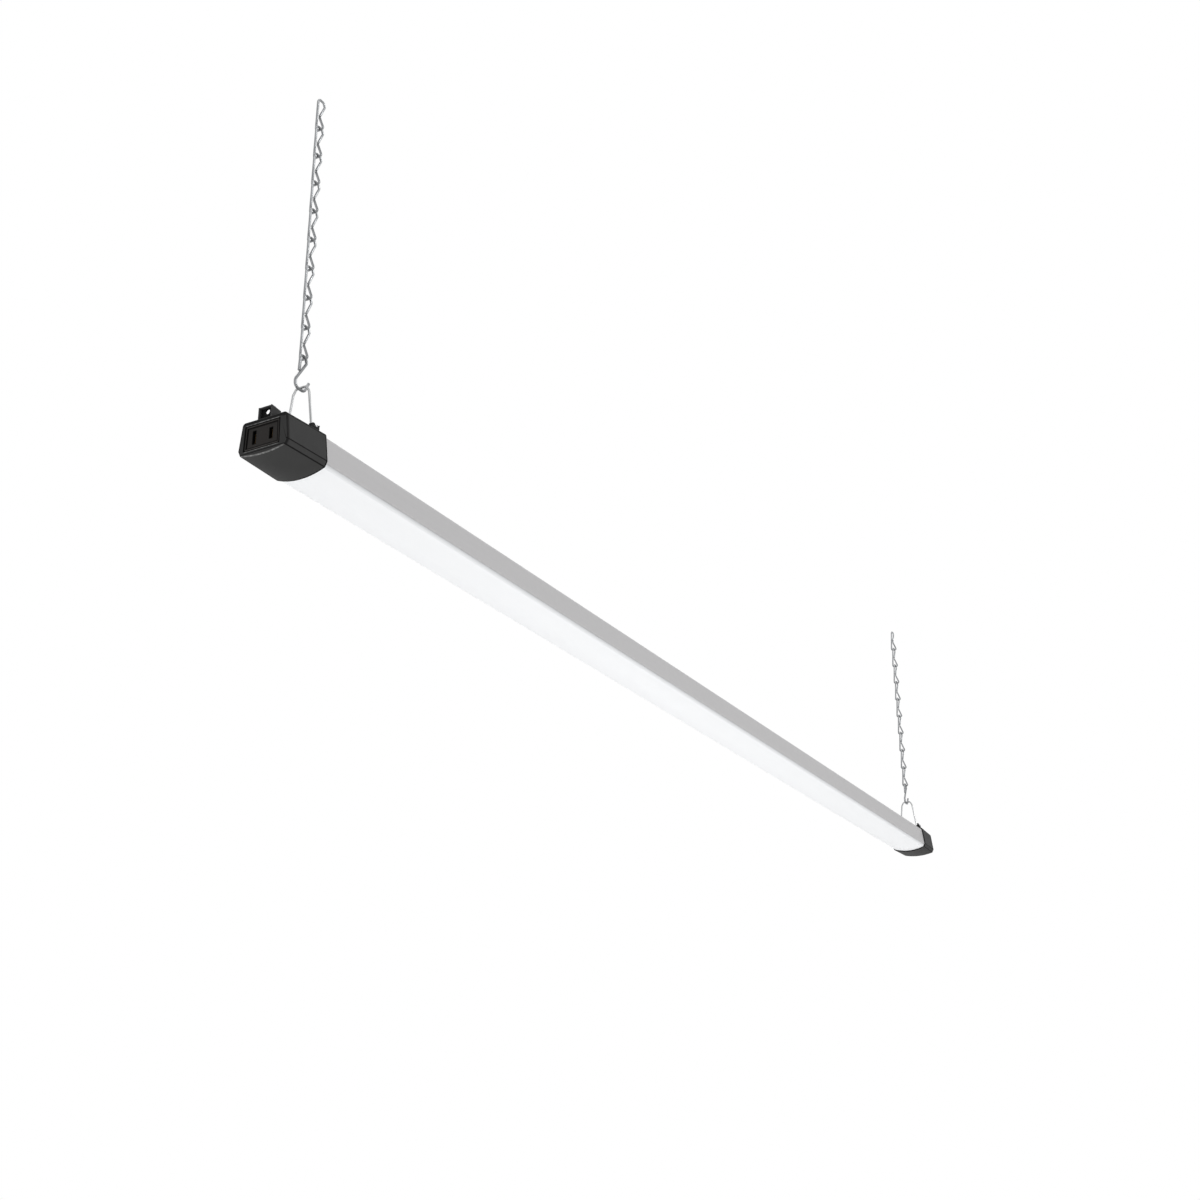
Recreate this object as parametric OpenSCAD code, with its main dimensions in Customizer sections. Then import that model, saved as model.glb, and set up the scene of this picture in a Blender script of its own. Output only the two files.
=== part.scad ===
// Slim linkable LED shop light, hung from two chains.
// Everything is in millimetres. The frame's origin is where the first ceiling hook bears
// inside the top link of the near chain. +X runs along the light, +Z is up.

/* [Fixture] */
// Overall length over both end caps
fixture_l = 1219; // [600:1:2400]
// Depth of each end cap along the light
cap_l = 36.5; // [30:0.5:60]
// Half width of an end cap's rim at its top edge
rim_half_top = 17.9; // [15:0.1:30]
// Half width of an end cap's rim where its side walls end
rim_half_low = 20.2; // [16:0.1:34]
// Height of an end cap's side wall
side_h = 19.6; // [18:0.1:40]
// Height of the end cap at the middle of its crowned underside
cap_h = 26.9; // [24:0.1:50]
// Width that the lower corner's chamfer takes off each side
chamfer_w = 1.7; // [1:0.1:3]
// Height of the lower corner's chamfer
chamfer_h = 3.6; // [2:0.1:5]
// Size of the outer end face as a share of the rim
face_scale = 0.93; // [0.85:0.005:1]
// How far the outer end's top lies under the rim's top
face_drop = 1.0; // [0:0.1:2]
// How far the middle of the outer end's underside lies above the rim's
face_rise = 1.5; // [0:0.1:3]
// Wall of the end caps
cap_wall = 1.8; // [1.2:0.1:3]
// How far the housing stands back inside the rim's outline
housing_inset = 1.2; // [1:0.1:2]
// How deep the housing reaches into each end cap
housing_overlap = 8; // [5:0.5:14]
// Wall of the housing
housing_wall = 1.2; // [0.8:0.1:2]
// Wall of the diffuser
diffuser_wall = 1.2; // [0.8:0.1:1.5]
// Height of the chamber above the light board
chamber_h = 12.6; // [12:0.1:24]

/* [Hanging] */
// Distance from an end cap's inner edge to its bail
bail_setback = 5.0; // [5:0.5:12]
// Wire of the bails
bail_d = 1.6; // [1.2:0.1:2]
// Height of a bail's seat on its top wire above the end cap's top
bail_h = 33.8; // [25:0.1:60]
// Half width of a bail at its shoulders
bail_half_top = 6.2; // [5:0.1:8]
// Half width of a bail at its feet
bail_half_low = 9.8; // [9:0.1:10.5]
// Height of the bail's feet above the end cap's top
foot_h = 4.0; // [4:0.1:6]
// Links in each chain
link_count = 9; // [6:1:12]
// Length of a link inside its two ends
link_pitch = 22; // [20:0.1:30]
// Wire of the links
link_d = 1.7; // [1.4:0.1:2]
// Half width of a link's loops, to the middle of the wire
link_half_w = 2.95; // [2.8:0.05:4]
// Wire of the S-hooks
hook_d = 2.0; // [1.6:0.1:2.4]
// Length of an S-hook inside its two bends
hook_pitch = 22; // [20:0.1:30]
// Gap left between two pieces that bear on each other
bearing_gap = 0.2; // [0.1:0.05:0.4]

/* [Outlet] */
// Distance between the outlet's two slots
slot_spacing = 12.7; // [12.7:0.1:12.7]
// Height of the neutral slot
neutral_slot_h = 8.7; // [8:0.1:9]
// Height of the live slot
live_slot_h = 7.1; // [6.5:0.1:8]
// Width of both slots
slot_w = 2.3; // [1.8:0.1:2.4]
// Half width of the outlet's window
window_half = 12.9; // [11:0.1:13.2]
// Height of the outlet's window
window_h = 16.6; // [15:0.1:17]
// Distance from the end cap's top down to the window
window_top = 4.3; // [4:0.1:5]
// How far the outlet sits off the end cap's middle, towards its taller slot
outlet_y = 1.0; // [0:0.1:1.2]

/* [Cord inlet and ears] */
// Bore of the cord bushing in the far end cap
inlet_d = 7.4; // [5:0.1:9]
// Hole in each upright ear
ear_hole_d = 3.8; // [3:0.1:4.2]
// Width of an ear
ear_w = 10.4; // [9:0.1:14]
// Height of an ear above the end cap's top
ear_h = 6.4; // [6:0.1:9]
// Length of an ear's side cheeks
ear_l = 8.5; // [6:0.1:12]

/* [Light board and driver] */
// Width of the light board
board_w = 26; // [20:0.5:27]
// Distance between two light chips
chip_pitch = 12; // [8:0.5:30]
// Screws that hold the light board
board_screw_count = 7; // [3:1:12]
// Length of the driver's circuit board
driver_l = 210; // [200:1:300]
// Width of the driver's circuit board
driver_w = 21; // [20:0.5:22]
// Distance from the far end of the housing to the driver
driver_inset = 45; // [30:1:120]
// Insulated wire's outer diameter
wire_d = 1.9; // [1.5:0.1:2.2]

/* [Hidden] */
$fn = 40;
eps = 0.01;
fit = 0.1;
span = 60; // reaches past the light's section on every side

// Colours, as the photograph shows them
black_plastic = "#2b2929";
aluminium = "#b9babb";
milky = "#eef0f2";
zinc = "#b4b6b8";
pale_wire = "#c9cacb";
brass = "#c9a65a";

// Places along the light
bail_inset = cap_l - bail_setback;
bail_span = fixture_l - 2 * bail_inset;
hang_drop = link_count * link_pitch + hook_pitch + bail_h;
housing_x0 = cap_l - housing_overlap + 0.3;
housing_l = fixture_l - 2 * housing_x0;
socket_x = cap_l - housing_overlap;

// Heights, measured down from the top of the end caps' rims
housing_top = -housing_inset;
chamber_top = housing_top - housing_wall;
web_top = chamber_top - chamber_h;
web_t = 1.0;
web_low = web_top - web_t;
lip_drop = 0.9;
lip_z = -side_h - lip_drop;
lens_gap = 0.12;

// Round-cornered outlines across the light, as [y, z] points
corner_top_r = 2.2;
corner_low_r = 1.6;
cap_corner_r = 0.6;
crown_steps = 16;

function unit(v) = v / norm(v);

// Points of a fillet of radius r at the corner q between p and s
function fillet(p, q, s, r, n) =
    r == 0 ? [q] :
    let (u = unit(p - q), v = unit(s - q), half = acos(max(-1, min(1, u * v))) / 2)
    let (c = q + unit(u + v) * r / sin(half), a = q + u * r / tan(half) - c)
    let (turn = 180 - 2 * half, way = u[0] * v[1] - u[1] * v[0] > 0 ? -1 : 1)
    [for (k = [0:n]) let (t = way * turn * k / n)
        c + [a[0] * cos(t) - a[1] * sin(t), a[0] * sin(t) + a[1] * cos(t)]];

function rounded(pts, radii, n = 5) =
    let (m = len(pts))
    [for (i = [0:m - 1]) each fillet(pts[(i + m - 1) % m], pts[i], pts[(i + 1) % m], radii[i], n)];

// The crowned underside from y = w to y = -w, with its middle at z = mid and its ends at z = edge
function crown(w, edge, mid) =
    let (sag = edge - mid, r = (w * w + sag * sag) / (2 * sag))
    [for (k = [1:crown_steps - 1]) let (y = w * (1 - 2 * k / crown_steps))
        [y, mid + r - sqrt(r * r - y * y)]];

// Half width of the rim's outline at height z on the side wall
function side_half(z) = rim_half_top + (rim_half_low - rim_half_top) * -z / side_h;

// An end cap's outline, taken in by i, with lower corners of radius r
function outline(top_half, low_half, top_z, mid_z, r, i) =
    let (top_w = top_half + (low_half - top_half) * i / (top_z + side_h) - i)
    let (low_w = low_half - i, cut_w = low_w - chamfer_w, cut_z = -side_h - chamfer_h + 0.45 * i)
    let (ridge = crown(cut_w, cut_z, mid_z + i))
    rounded(
        concat([[-top_w, top_z - i], [top_w, top_z - i], [low_w, -side_h], [cut_w, cut_z]], ridge,
            [[-cut_w, cut_z], [-low_w, -side_h]]),
        concat([corner_top_r, corner_top_r, r, r], [for (p = ridge) 0], [r, r]));

// The rim's outline, and the outer end's
function section(i, r = corner_low_r) = outline(rim_half_top, rim_half_low, 0, -cap_h, r, i);
function face_section(i) = outline(rim_half_top * face_scale, rim_half_low * face_scale,
    -face_drop, face_rise - cap_h, cap_corner_r, i);

// A prism along X, from x, of length l, over an outline of [y, z] points
module prism(x, l, pts) translate([x, 0, 0]) rotate([90, 0, 90]) linear_extrude(l) polygon(pts);

// Fixture pieces are drawn from the near end's outer face and the top of the rims
module hung() translate([-bail_inset, 0, -hang_drop]) children();
module far_end() translate([fixture_l, 0, 0]) mirror([1, 0, 0]) children();

// Wires: a route of points with a bend radius at each inner point, swept with a round section
function turn_at(p, i) = acos(max(-1, min(1, unit(p[i] - p[i - 1]) * unit(p[i + 1] - p[i]))));
function bend_points(p, r, i, step) =
    let (u = unit(p[i] - p[i - 1]), axis = unit(cross(u, unit(p[i + 1] - p[i]))))
    let (turn = turn_at(p, i), start = p[i] - u * r * tan(turn / 2))
    let (c = start + cross(axis, u) * r, a = start - c, n = max(1, ceil(turn / step)))
    [for (k = [0:n]) c + a * cos(turn * k / n) + cross(axis, a) * sin(turn * k / n)];
function route(p, radii, step) =
    [p[0], for (i = [1:len(p) - 2]) each bend_points(p, radii[i - 1], i, step), p[len(p) - 1]];
function heading(c, i) =
    let (last = len(c) - 1)
    i == 0 ? unit(c[1] - c[0]) : i == last ? unit(c[last] - c[last - 1]) :
    unit(unit(c[i] - c[i - 1]) + unit(c[i + 1] - c[i]));
function square_to(t, n) = unit(n - t * (n * t));

module wire(p, radii, d, side = [0, 1, 0], sides = 8, step = 30) {
    c = route(p, radii, step);
    count = len(c);
    normals = [for (i = 0, n = square_to(heading(c, 0), side); i < count;
        i = i + 1, n = i < count ? square_to(heading(c, i), n) : n) n];
    rings = [for (i = [0:count - 1]) for (k = [0:sides - 1])
        let (t = heading(c, i), a = 360 * k / sides)
        c[i] + (normals[i] * cos(a) + cross(t, normals[i]) * sin(a)) * d / 2];
    walls = [for (i = [0:count - 2]) for (k = [0:sides - 1])
        let (a = i * sides + k, b = i * sides + (k + 1) % sides)
        each [[a, a + sides, b], [b, a + sides, b + sides]]];
    ends = [for (k = [1:sides - 2])
        each [[0, k, k + 1], [(count - 1) * sides, (count - 1) * sides + k + 1, (count - 1) * sides + k]]];
    polyhedron(rings, concat(walls, ends), convexity = 6);
}

// ---- Chains, hooks and bails -------------------------------------------------------------

// One link. Its top loop stands in the XZ plane and its bottom loop in the YZ plane, the
// straight back joins them, and both ends of the wire come back to the back at its waist.
module link(i) {
    a = link_half_w;
    top = link_d / 2;
    low = -link_pitch - bearing_gap - link_d / 2;
    waist = (top + low) / 2 - 1.2;
    along = (top - waist) / (top - low);
    meet = [-a * (1 - along), a * along, waist] + [1, -1, 0] * (link_d + 0.1) / sqrt(2);
    up = [0, 0, link_d * 0.3];
    color(zinc) translate([0, 0, -(i - 1) * link_pitch])
        wire([meet + up, [a + 0.9, 0, top - 3.0], [a - 0.2, 0, top], [-a, 0, top],
              [0, a, low], [0, -a - 0.5, low], meet - up],
            [1.0, a * 0.6, a * 0.7, a * 0.7, 1.3], link_d, side = [0, 0, 1]);
}

hook_seat_z = -hook_pitch - bearing_gap - hook_d / 2;
module s_hook() {
    top = hook_d / 2;
    color(zinc) translate([0, 0, -link_count * link_pitch])
        wire([[-3.4, 0, -10.4], [-2.8, 0, top], [5.6, 0, top], [-6.4, 0, hook_seat_z + 5.4],
              [-6, 0, hook_seat_z], [2.4, 0, hook_seat_z], [6.3, 0, hook_seat_z + 7.8]],
            [2.4, 3.2, 5, 3.2, 3.8], hook_d, side = [0, 1, 0]);
}

clip_y = bail_half_low + 1.4;
clip_w = 2.4;
module bail() {
    top = bail_h + bail_d / 2;
    shoulder = bail_h - 3;
    color(pale_wire) translate([bail_inset, 0, 0])
        wire([[0, -clip_y - clip_w - 0.6, foot_h], [0, -bail_half_low, foot_h],
              [0, -bail_half_top, shoulder], [0, -bail_half_top + 2.4, top],
              [0, bail_half_top - 2.4, top], [0, bail_half_top, shoulder],
              [0, bail_half_low, foot_h], [0, clip_y + clip_w + 0.6, foot_h]],
            [1.2, 2.4, 2.4, 2.4, 2.4, 1.2], bail_d, side = [1, 0, 0], step = 22);
}

// ---- End caps -----------------------------------------------------------------------------

edge_r = 0.7;
ear_wall = 0.9;
ear_recess = 2.0;
ear_plate = 1.6;
ear_hole_z = ear_h * 0.56;
clip_seat_r = bail_d / 2 + fit;
screw_x = cap_l - 3.8;
screw_y = 4.5;
screw_r = 1.15;
screw_head_r = 2.6;

module cap_body() hull() {
    prism(0, eps, face_section(edge_r));
    prism(edge_r * 0.3, eps, face_section(edge_r * 0.3));
    prism(edge_r, eps, face_section(0));
    prism(cap_l - eps, eps, section(0, cap_corner_r));
}

module cap_hollow() {
    hull() {
        prism(cap_wall, eps, face_section(cap_wall));
        prism(socket_x, eps, section(cap_wall + 0.5));
    }
    prism(socket_x - eps, housing_overlap + 1, section(housing_inset - fit));
}

// Upright ear at the outer end: a holed plate between two cheeks, open above and behind
module ear() {
    base = -face_drop - 0.6;
    rise = ear_h - base;
    for (s = [-1, 1]) translate([0, s * (ear_w - ear_wall) / 2 - ear_wall / 2, base])
        rotate([90, 0, 0]) mirror([0, 0, 1]) linear_extrude(ear_wall)
            polygon([[0, 0], [ear_l, 0], [ear_l, rise - 0.8], [0, rise]]);
    translate([ear_recess, -ear_w / 2, base]) cube([ear_plate, ear_w, rise - 0.1]);
    translate([0, -ear_w / 2, ear_h - ear_wall]) cube([ear_recess + eps, ear_w, ear_wall - 0.1]);
}

// Snap seat for one foot of the bail, with its mouth open upwards
module clip() {
    foot = foot_h + 0.9;
    rotate([90, 0, 0]) translate([0, 0, -clip_w / 2]) linear_extrude(clip_w)
        polygon([[-4.6, -foot], [-4.2, 0.5], [-3.0, 1.3], [-1.6, 1.5], [-bail_d * 0.46, 0.9],
                 [-bail_d * 0.46, 0], [bail_d * 0.46, 0], [bail_d * 0.46, 0.9],
                 [1.7, 1.3], [2.6, 1.1], [3.6, 2.0], [3.2, 0.2], [3.4, -foot]]);
}

module cap_shell() {
    difference() {
        union() {
            cap_body();
            ear();
            for (s = [-1, 1]) translate([bail_inset, s * (clip_y + clip_w / 2), foot_h]) clip();
        }
        cap_hollow();
        translate([ear_recess - 1, 0, ear_hole_z]) rotate([0, 90, 0])
            cylinder(d = ear_hole_d, h = ear_plate + 2);
        for (s = [-1, 1]) {
            translate([bail_inset, s * (clip_y + clip_w / 2), foot_h]) rotate([90, 0, 0])
                cylinder(r = clip_seat_r, h = clip_w + 1, center = true);
            translate([screw_x, s * screw_y, -housing_inset - 1])
                cylinder(r = screw_r + 0.35, h = housing_inset + 2);
        }
    }
}

window_mid = -window_top - window_h / 2;
window_flare = 0.5;
function window(i) =
    let (low = -window_top - window_h)
    rounded([[-window_half + i, -window_top - i], [window_half - i, -window_top - i],
             [window_half + window_flare - i, low + i], [-window_half - window_flare + i, low + i]],
        [0.8, 0.8, 0.8, 0.8], 3);

module near_end_cap() color(black_plastic) difference() {
    cap_shell();
    translate([0, outlet_y, 0]) prism(-1, cap_wall + 2, window(0));
}

bushing_flange_r = inlet_d / 2 + 2.6;
bushing_neck_r = inlet_d / 2 + 1.3;
inlet_z = window_mid;
module far_end_cap() color(black_plastic) difference() {
    far_end() cap_shell();
    translate([fixture_l - cap_wall - 1, 0, inlet_z]) rotate([0, 90, 0])
        cylinder(r = bushing_neck_r + fit, h = cap_wall + 2);
    translate([fixture_l - 0.9, 0, inlet_z]) rotate([0, 90, 0])
        cylinder(r = bushing_flange_r + fit, h = 2);
}

// Rubber bushing that lines the cord's hole, flush with the end cap's face
module cord_bushing() color("#1d1d1d") translate([fixture_l, 0, inlet_z]) rotate([0, -90, 0])
    difference() {
        union() {
            cylinder(r = bushing_flange_r, h = 0.8);
            cylinder(r = bushing_neck_r, h = cap_wall + 2.4);
            translate([0, 0, cap_wall + 0.1]) cylinder(r = bushing_flange_r - 0.4, h = 1.4);
        }
        translate([0, 0, -1]) cylinder(d = inlet_d, h = cap_wall + 5);
    }

module cap_screws() color(zinc) for (s = [-1, 1]) translate([screw_x, s * screw_y, 0])
    difference() {
        union() {
            translate([0, 0, 0.05]) cylinder(r = screw_head_r, h = 1.5);
            translate([0, 0, -5.5]) cylinder(r = screw_r, h = 5.6);
        }
        for (a = [0, 90]) rotate(a) translate([-1.5, -0.3, 0.9]) cube([3, 0.6, 1]);
    }

// ---- Outlet in the near end cap --------------------------------------------------------------

insert_gap = 0.15;
insert_depth = 15;
insert_front_x = 0.3;
insert_face_x = 0.7;
insert_floor = 1.6;
flange_t = 1.2;
flange_out = 0.8;
contact_room_w = 6.4;
contact_room_h = 11;
contact_t = 0.5;
blade_t = 1.5;
slot_side = slot_spacing / 2;

module outlet_insert() color("#302d2c") translate([0, outlet_y, 0]) difference() {
    union() {
        prism(insert_front_x, cap_wall - insert_front_x + flange_t / 2, window(insert_gap));
        intersection() {
            prism(cap_wall, flange_t, window(-flange_out));
            translate([0, -outlet_y, 0]) prism(0, insert_depth, face_section(cap_wall + 0.3));
        }
        translate([cap_wall, -window_half + 1.6, window_mid - window_h / 2 + 1.3])
            cube([insert_depth - cap_wall, 2 * window_half - 3.2, window_h - 2.6]);
    }
    translate([-1, 0, 0]) prism(0, insert_face_x + 1, window(1.7));
    for (s = [-1, 1]) {
        h = s > 0 ? neutral_slot_h : live_slot_h;
        translate([-1, s * slot_side - slot_w / 2, window_mid - h / 2]) cube([10, slot_w, h]);
        translate([insert_face_x + insert_floor, s * slot_side - contact_room_w / 2,
                   window_mid - contact_room_h / 2])
            cube([insert_depth, contact_room_w, contact_room_h]);
    }
}

// Folded spring contact: two leaves grip the blade, and a tail runs back to the wire's crimp
crimp_x = insert_depth + 1.5;
crimp_l = 4;
module contact(s) color(brass) translate([0, outlet_y + s * slot_side, window_mid]) {
    leaf_x = insert_face_x + insert_floor + 0.6;
    back_x = insert_depth - 1.6;
    leaf_h = contact_room_h - 3.4;
    gap = blade_t - 0.2;
    difference() {
        union() {
            for (w = [-1, 1]) translate([leaf_x, w * (gap + contact_t) / 2 - contact_t / 2, -leaf_h / 2])
                cube([back_x - leaf_x, contact_t, leaf_h]);
            translate([back_x - eps, -contact_room_w / 2 + 0.1, -leaf_h / 2])
                cube([contact_t, contact_room_w - 0.2, leaf_h]);
            translate([back_x, -1.4, -contact_t / 2]) cube([crimp_x - back_x + 1, 2.8, contact_t]);
            translate([crimp_x, 0, 0]) rotate([0, 90, 0]) cylinder(r = wire_d / 2 + 0.5, h = crimp_l);
        }
        translate([crimp_x + 1, 0, 0]) rotate([0, 90, 0]) cylinder(r = wire_d / 2 + 0.04, h = crimp_l);
    }
}

// ---- Housing and diffuser ----------------------------------------------------------------------

rib = 0.9;
rib_in = 1.2;
barb_out = 0.7;
barb_h = 0.9;
barb_z = lip_z + rib + lens_gap;
lead_hole_x = fixture_l - housing_x0 - driver_inset - driver_l - 12;
lead_y = wire_d / 2 + 0.17;
grommet_r = lead_y + wire_d / 2 + 0.53;
board_x0 = housing_x0 + 4;
board_l = housing_l - 8;
function board_screw_x(k) = board_x0 + 15 + (board_l - 30) * k / (board_screw_count - 1);
board_screw_y = board_w / 2 - 3.4;

function inner_half(z) = side_half(z) - housing_inset - housing_wall;
rib_half = inner_half(-side_h) - rib_in;
neck_half = rib_half - lens_gap;
function mirrored(half) =
    concat(half, [for (i = [len(half) - 1:-1:0]) [-half[i][0], half[i][1]]]);

module housing() color(aluminium) difference() {
    intersection() {
        prism(housing_x0, housing_l, section(housing_inset));
        translate([0, -span, lip_z]) cube([fixture_l, 2 * span, span]);
    }
    prism(0, fixture_l, rounded(mirrored([[inner_half(chamber_top), chamber_top],
        [inner_half(web_top), web_top]]), [1.2, 0.4, 0.4, 1.2], 4));
    prism(0, fixture_l, mirrored([[inner_half(web_low), web_low],
        [inner_half(-side_h), lip_z + rib], [rib_half, lip_z + rib], [rib_half, lip_z - 1]]));
    for (x = [screw_x, fixture_l - screw_x], s = [-1, 1]) translate([x, s * screw_y, chamber_top - 1])
        cylinder(r = screw_r + 0.05, h = 5);
    for (k = [0:board_screw_count - 1], s = [-1, 1])
        translate([board_screw_x(k), s * board_screw_y, web_low - 1]) cylinder(r = 1.1, h = 4);
    translate([lead_hole_x, 0, web_low - 1]) cylinder(r = grommet_r, h = 4);
}

// Snap-in cover: two necks with barbs, round shoulders and a crowned underside
module diffuser() color(milky) difference() {
    union() {
        intersection() {
            prism(housing_x0, housing_l, section(housing_inset));
            translate([0, -span, -span]) cube([fixture_l, 2 * span, span + lip_z - lens_gap]);
        }
        for (s = [-1, 1]) prism(housing_x0, housing_l, [for (p = [
            [neck_half - diffuser_wall, lip_z - 1.5], [neck_half, lip_z - 1.5], [neck_half, barb_z],
            [neck_half + barb_out, barb_z], [neck_half + 0.1, barb_z + barb_h],
            [neck_half - diffuser_wall, barb_z + barb_h]]) [s * p[0], p[1]]]);
    }
    intersection() {
        prism(0, fixture_l, section(housing_inset + diffuser_wall));
        translate([0, -span, -span])
            cube([fixture_l, 2 * span, span + lip_z - lens_gap - diffuser_wall]);
    }
    translate([0, diffuser_wall - neck_half, lip_z - lens_gap - diffuser_wall - 1])
        cube([fixture_l, 2 * (neck_half - diffuser_wall), 6]);
}

// ---- Light board ----------------------------------------------------------------------------

board_t = 1.0;
board_top = web_low;
chip_h = 0.7;
chip_count = floor((board_l - 20) / chip_pitch);
chip_x0 = board_x0 + (board_l - (chip_count - 1) * chip_pitch) / 2;

module light_board() color("#f4f4f0") difference() {
    translate([board_x0, -board_w / 2, board_top - board_t]) cube([board_l, board_w, board_t]);
    for (k = [0:board_screw_count - 1], s = [-1, 1])
        translate([board_screw_x(k), s * board_screw_y, board_top - board_t - 1])
            cylinder(r = 1.35, h = board_t + 2);
    translate([lead_hole_x, 0, board_top - board_t - 1]) cylinder(r = grommet_r + 0.8, h = board_t + 2);
}

function clear_of_leads(x) = abs(x - lead_hole_x) > grommet_r + 2.8;
module light_chips() color("#f3d774") for (k = [0:chip_count - 1]) let (x = chip_x0 + k * chip_pitch)
    if (clear_of_leads(x))
        translate([x - 1.75, -1.4, board_top - board_t - chip_h]) cube([3.5, 2.8, chip_h]);

module board_screws() color(zinc) for (k = [0:board_screw_count - 1], s = [-1, 1])
    translate([board_screw_x(k), s * board_screw_y, board_top - board_t]) {
        translate([0, 0, -1.0]) cylinder(r = 2.1, h = 1.0);
        translate([0, 0, -0.5]) cylinder(r = 1.05, h = 0.5 + board_t + web_t - fit);
    }

module wire_grommet() color("#1d1d1d") translate([lead_hole_x, 0, web_low]) difference() {
    union() {
        translate([0, 0, -0.2]) cylinder(r = grommet_r - 0.05, h = web_t + 0.8);
        translate([0, 0, web_t]) cylinder(r = grommet_r + 0.7, h = 0.7);
    }
    for (s = [-1, 1]) translate([0, s * lead_y, -2]) cylinder(r = wire_d / 2 + 0.05, h = 6);
}

// ---- Driver ------------------------------------------------------------------------------------

driver_x1 = fixture_l - housing_x0 - driver_inset;
driver_x0 = driver_x1 - driver_l;
tray_t = 0.6;
tray_half = driver_w / 2 + 0.2 + tray_t;
pcb_low = web_top + tray_t + 1.7;
pcb_t = 1.5;
pcb_top = pcb_low + pcb_t;
room_h = chamber_top - pcb_top - 0.6;

module driver_tray() color("#e9e6dc") difference() {
    prism(driver_x0 - 4, driver_l + 8, mirrored([[tray_half, web_top + 9], [tray_half, web_top + 0.05]]));
    prism(driver_x0 - 9, driver_l + 18, mirrored([[tray_half - tray_t, web_top + 12],
        [tray_half - tray_t, pcb_low - 0.02], [tray_half - tray_t - 1.2, pcb_low - 0.02],
        [tray_half - tray_t - 1.2, web_top + tray_t + 0.05]]));
}

module on_board(x, y = 0) translate([driver_x0 + x, y, pcb_top]) children();

module driver_board() color("#2f6b45") translate([driver_x0, -driver_w / 2, pcb_low])
    cube([driver_l, driver_w, pcb_t]);
module driver_fuse() color("#d8d4c8") on_board(driver_l - 22, -5) {
    translate([-5.5, 0, 1.9]) rotate([0, 90, 0]) cylinder(r = 1.9, h = 11);
}
module driver_varistor() color("#2b57a8") on_board(driver_l - 36, -5) {
    translate([0, 0, 3.6]) rotate([90, 0, 0]) cylinder(r = 3.6, h = 3, center = true);
}
module driver_choke() color("#a8642c") on_board(driver_l - 52, 0) difference() {
    cylinder(r = 7, h = min(6, room_h));
    translate([0, 0, -1]) cylinder(r = 3, h = 12);
}
module driver_filter_capacitor() color("#d6b53b") on_board(driver_l - 78, 0)
    translate([-7, -3.2, 0]) cube([14, 6.4, min(6.6, room_h)]);
module driver_bulk_capacitor() color("#22304f") on_board(driver_l - 116, 0)
    translate([-10, 0, 3.75]) rotate([0, 90, 0]) cylinder(r = 3.7, h = 20);
module driver_transformer_core() color("#3b3a3d") on_board(driver_l - 148, 0) difference() {
    translate([-8, -8.5, 0]) cube([16, 17, min(7, room_h)]);
    for (s = [-1, 1]) translate([-9, s * 5 - 2, 1.2]) cube([18, 4, min(4.6, room_h - 2.4)]);
}
module driver_transformer_coil() color("#d9a33a") on_board(driver_l - 148, 0)
    for (s = [-1, 1]) translate([-7, s * 5 - 1.8, 1.4]) cube([14, 3.6, min(4.2, room_h - 2.8)]);
module driver_output_capacitor() color("#22304f") on_board(24, 0)
    translate([-7, 0, 3.75]) rotate([0, 90, 0]) cylinder(r = 3.7, h = 14);

// ---- Terminal block and wires ---------------------------------------------------------------

block_l = 12;
block_w = 21;
block_h = 8;
block_x = fixture_l - housing_x0 - 10;
feed_pole_y = 7.5;
driver_pole_y = 2.5;
poles = [-feed_pole_y, -driver_pole_y, driver_pole_y, feed_pole_y];
pole_z = web_top + 3.2;
wire_z = web_top + wire_d / 2 + 0.05;
lane_y = inner_half(web_top) - wire_d / 2 - 0.6;
solder_z = pcb_top + wire_d / 2;

module terminal_block() color("#f0efe8") difference() {
    translate([block_x - block_l / 2, -block_w / 2, web_top]) cube([block_l, block_w, block_h]);
    for (y = poles) {
        translate([block_x - block_l, y, pole_z]) rotate([0, 90, 0])
            cylinder(r = wire_d / 2 + 0.05, h = block_l * 2);
        for (x = [-3, 3]) translate([block_x + x, y, pole_z]) cylinder(r = 1.6, h = block_h);
    }
}
module terminal_screws() color(zinc) for (y = poles, x = [-3, 3])
    translate([block_x + x, y, pole_z + wire_d / 2 + 0.1]) difference() {
        cylinder(r = 1.55, h = 2.6);
        translate([-2, -0.3, 2]) cube([4, 0.6, 2]);
    }

// From the terminal block along the chamber's side to the outlet's crimp
module feed_wire(s) {
    near_x = housing_x0 + 6;
    end_y = outlet_y + s * slot_side;
    wire([[block_x - 1, s * feed_pole_y, pole_z], [block_x - 12, s * feed_pole_y, pole_z],
          [block_x - 30, s * lane_y, wire_z], [near_x + 26, s * lane_y, wire_z],
          [near_x + 4, end_y, window_mid], [crimp_x + 1.4, end_y, window_mid]],
        [5, 5, 5, 5], wire_d);
}
module feed_wire_live() color("#1c1c1c") feed_wire(-1);
module feed_wire_neutral() color("#e8e8e4") feed_wire(1);

// From the terminal block to the driver's input pads
module driver_wire(s) wire([[block_x - 1, s * driver_pole_y, pole_z],
    [block_x - 14, s * driver_pole_y, pole_z], [driver_x1 + 5, s * 6, solder_z],
    [driver_x1 - 5, s * 6, solder_z]], [4, 4], wire_d);
module driver_wire_live() color("#1c1c1c") driver_wire(-1);
module driver_wire_neutral() color("#e8e8e4") driver_wire(1);

// From the driver's output pads down through the grommet to the light board's pads
module board_wire(s) {
    pad_z = board_top - board_t - wire_d / 2;
    wire([[driver_x0 + 5, s * lead_y, solder_z], [lead_hole_x, s * lead_y, solder_z],
          [lead_hole_x, s * lead_y, pad_z], [lead_hole_x, s * 7.5, pad_z]], [2, 2], wire_d);
}
module board_wire_positive() color("#b3392f") board_wire(1);
module board_wire_negative() color("#26262a") board_wire(-1);

// ---- Drawing ----------------------------------------------------------------------------------

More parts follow.
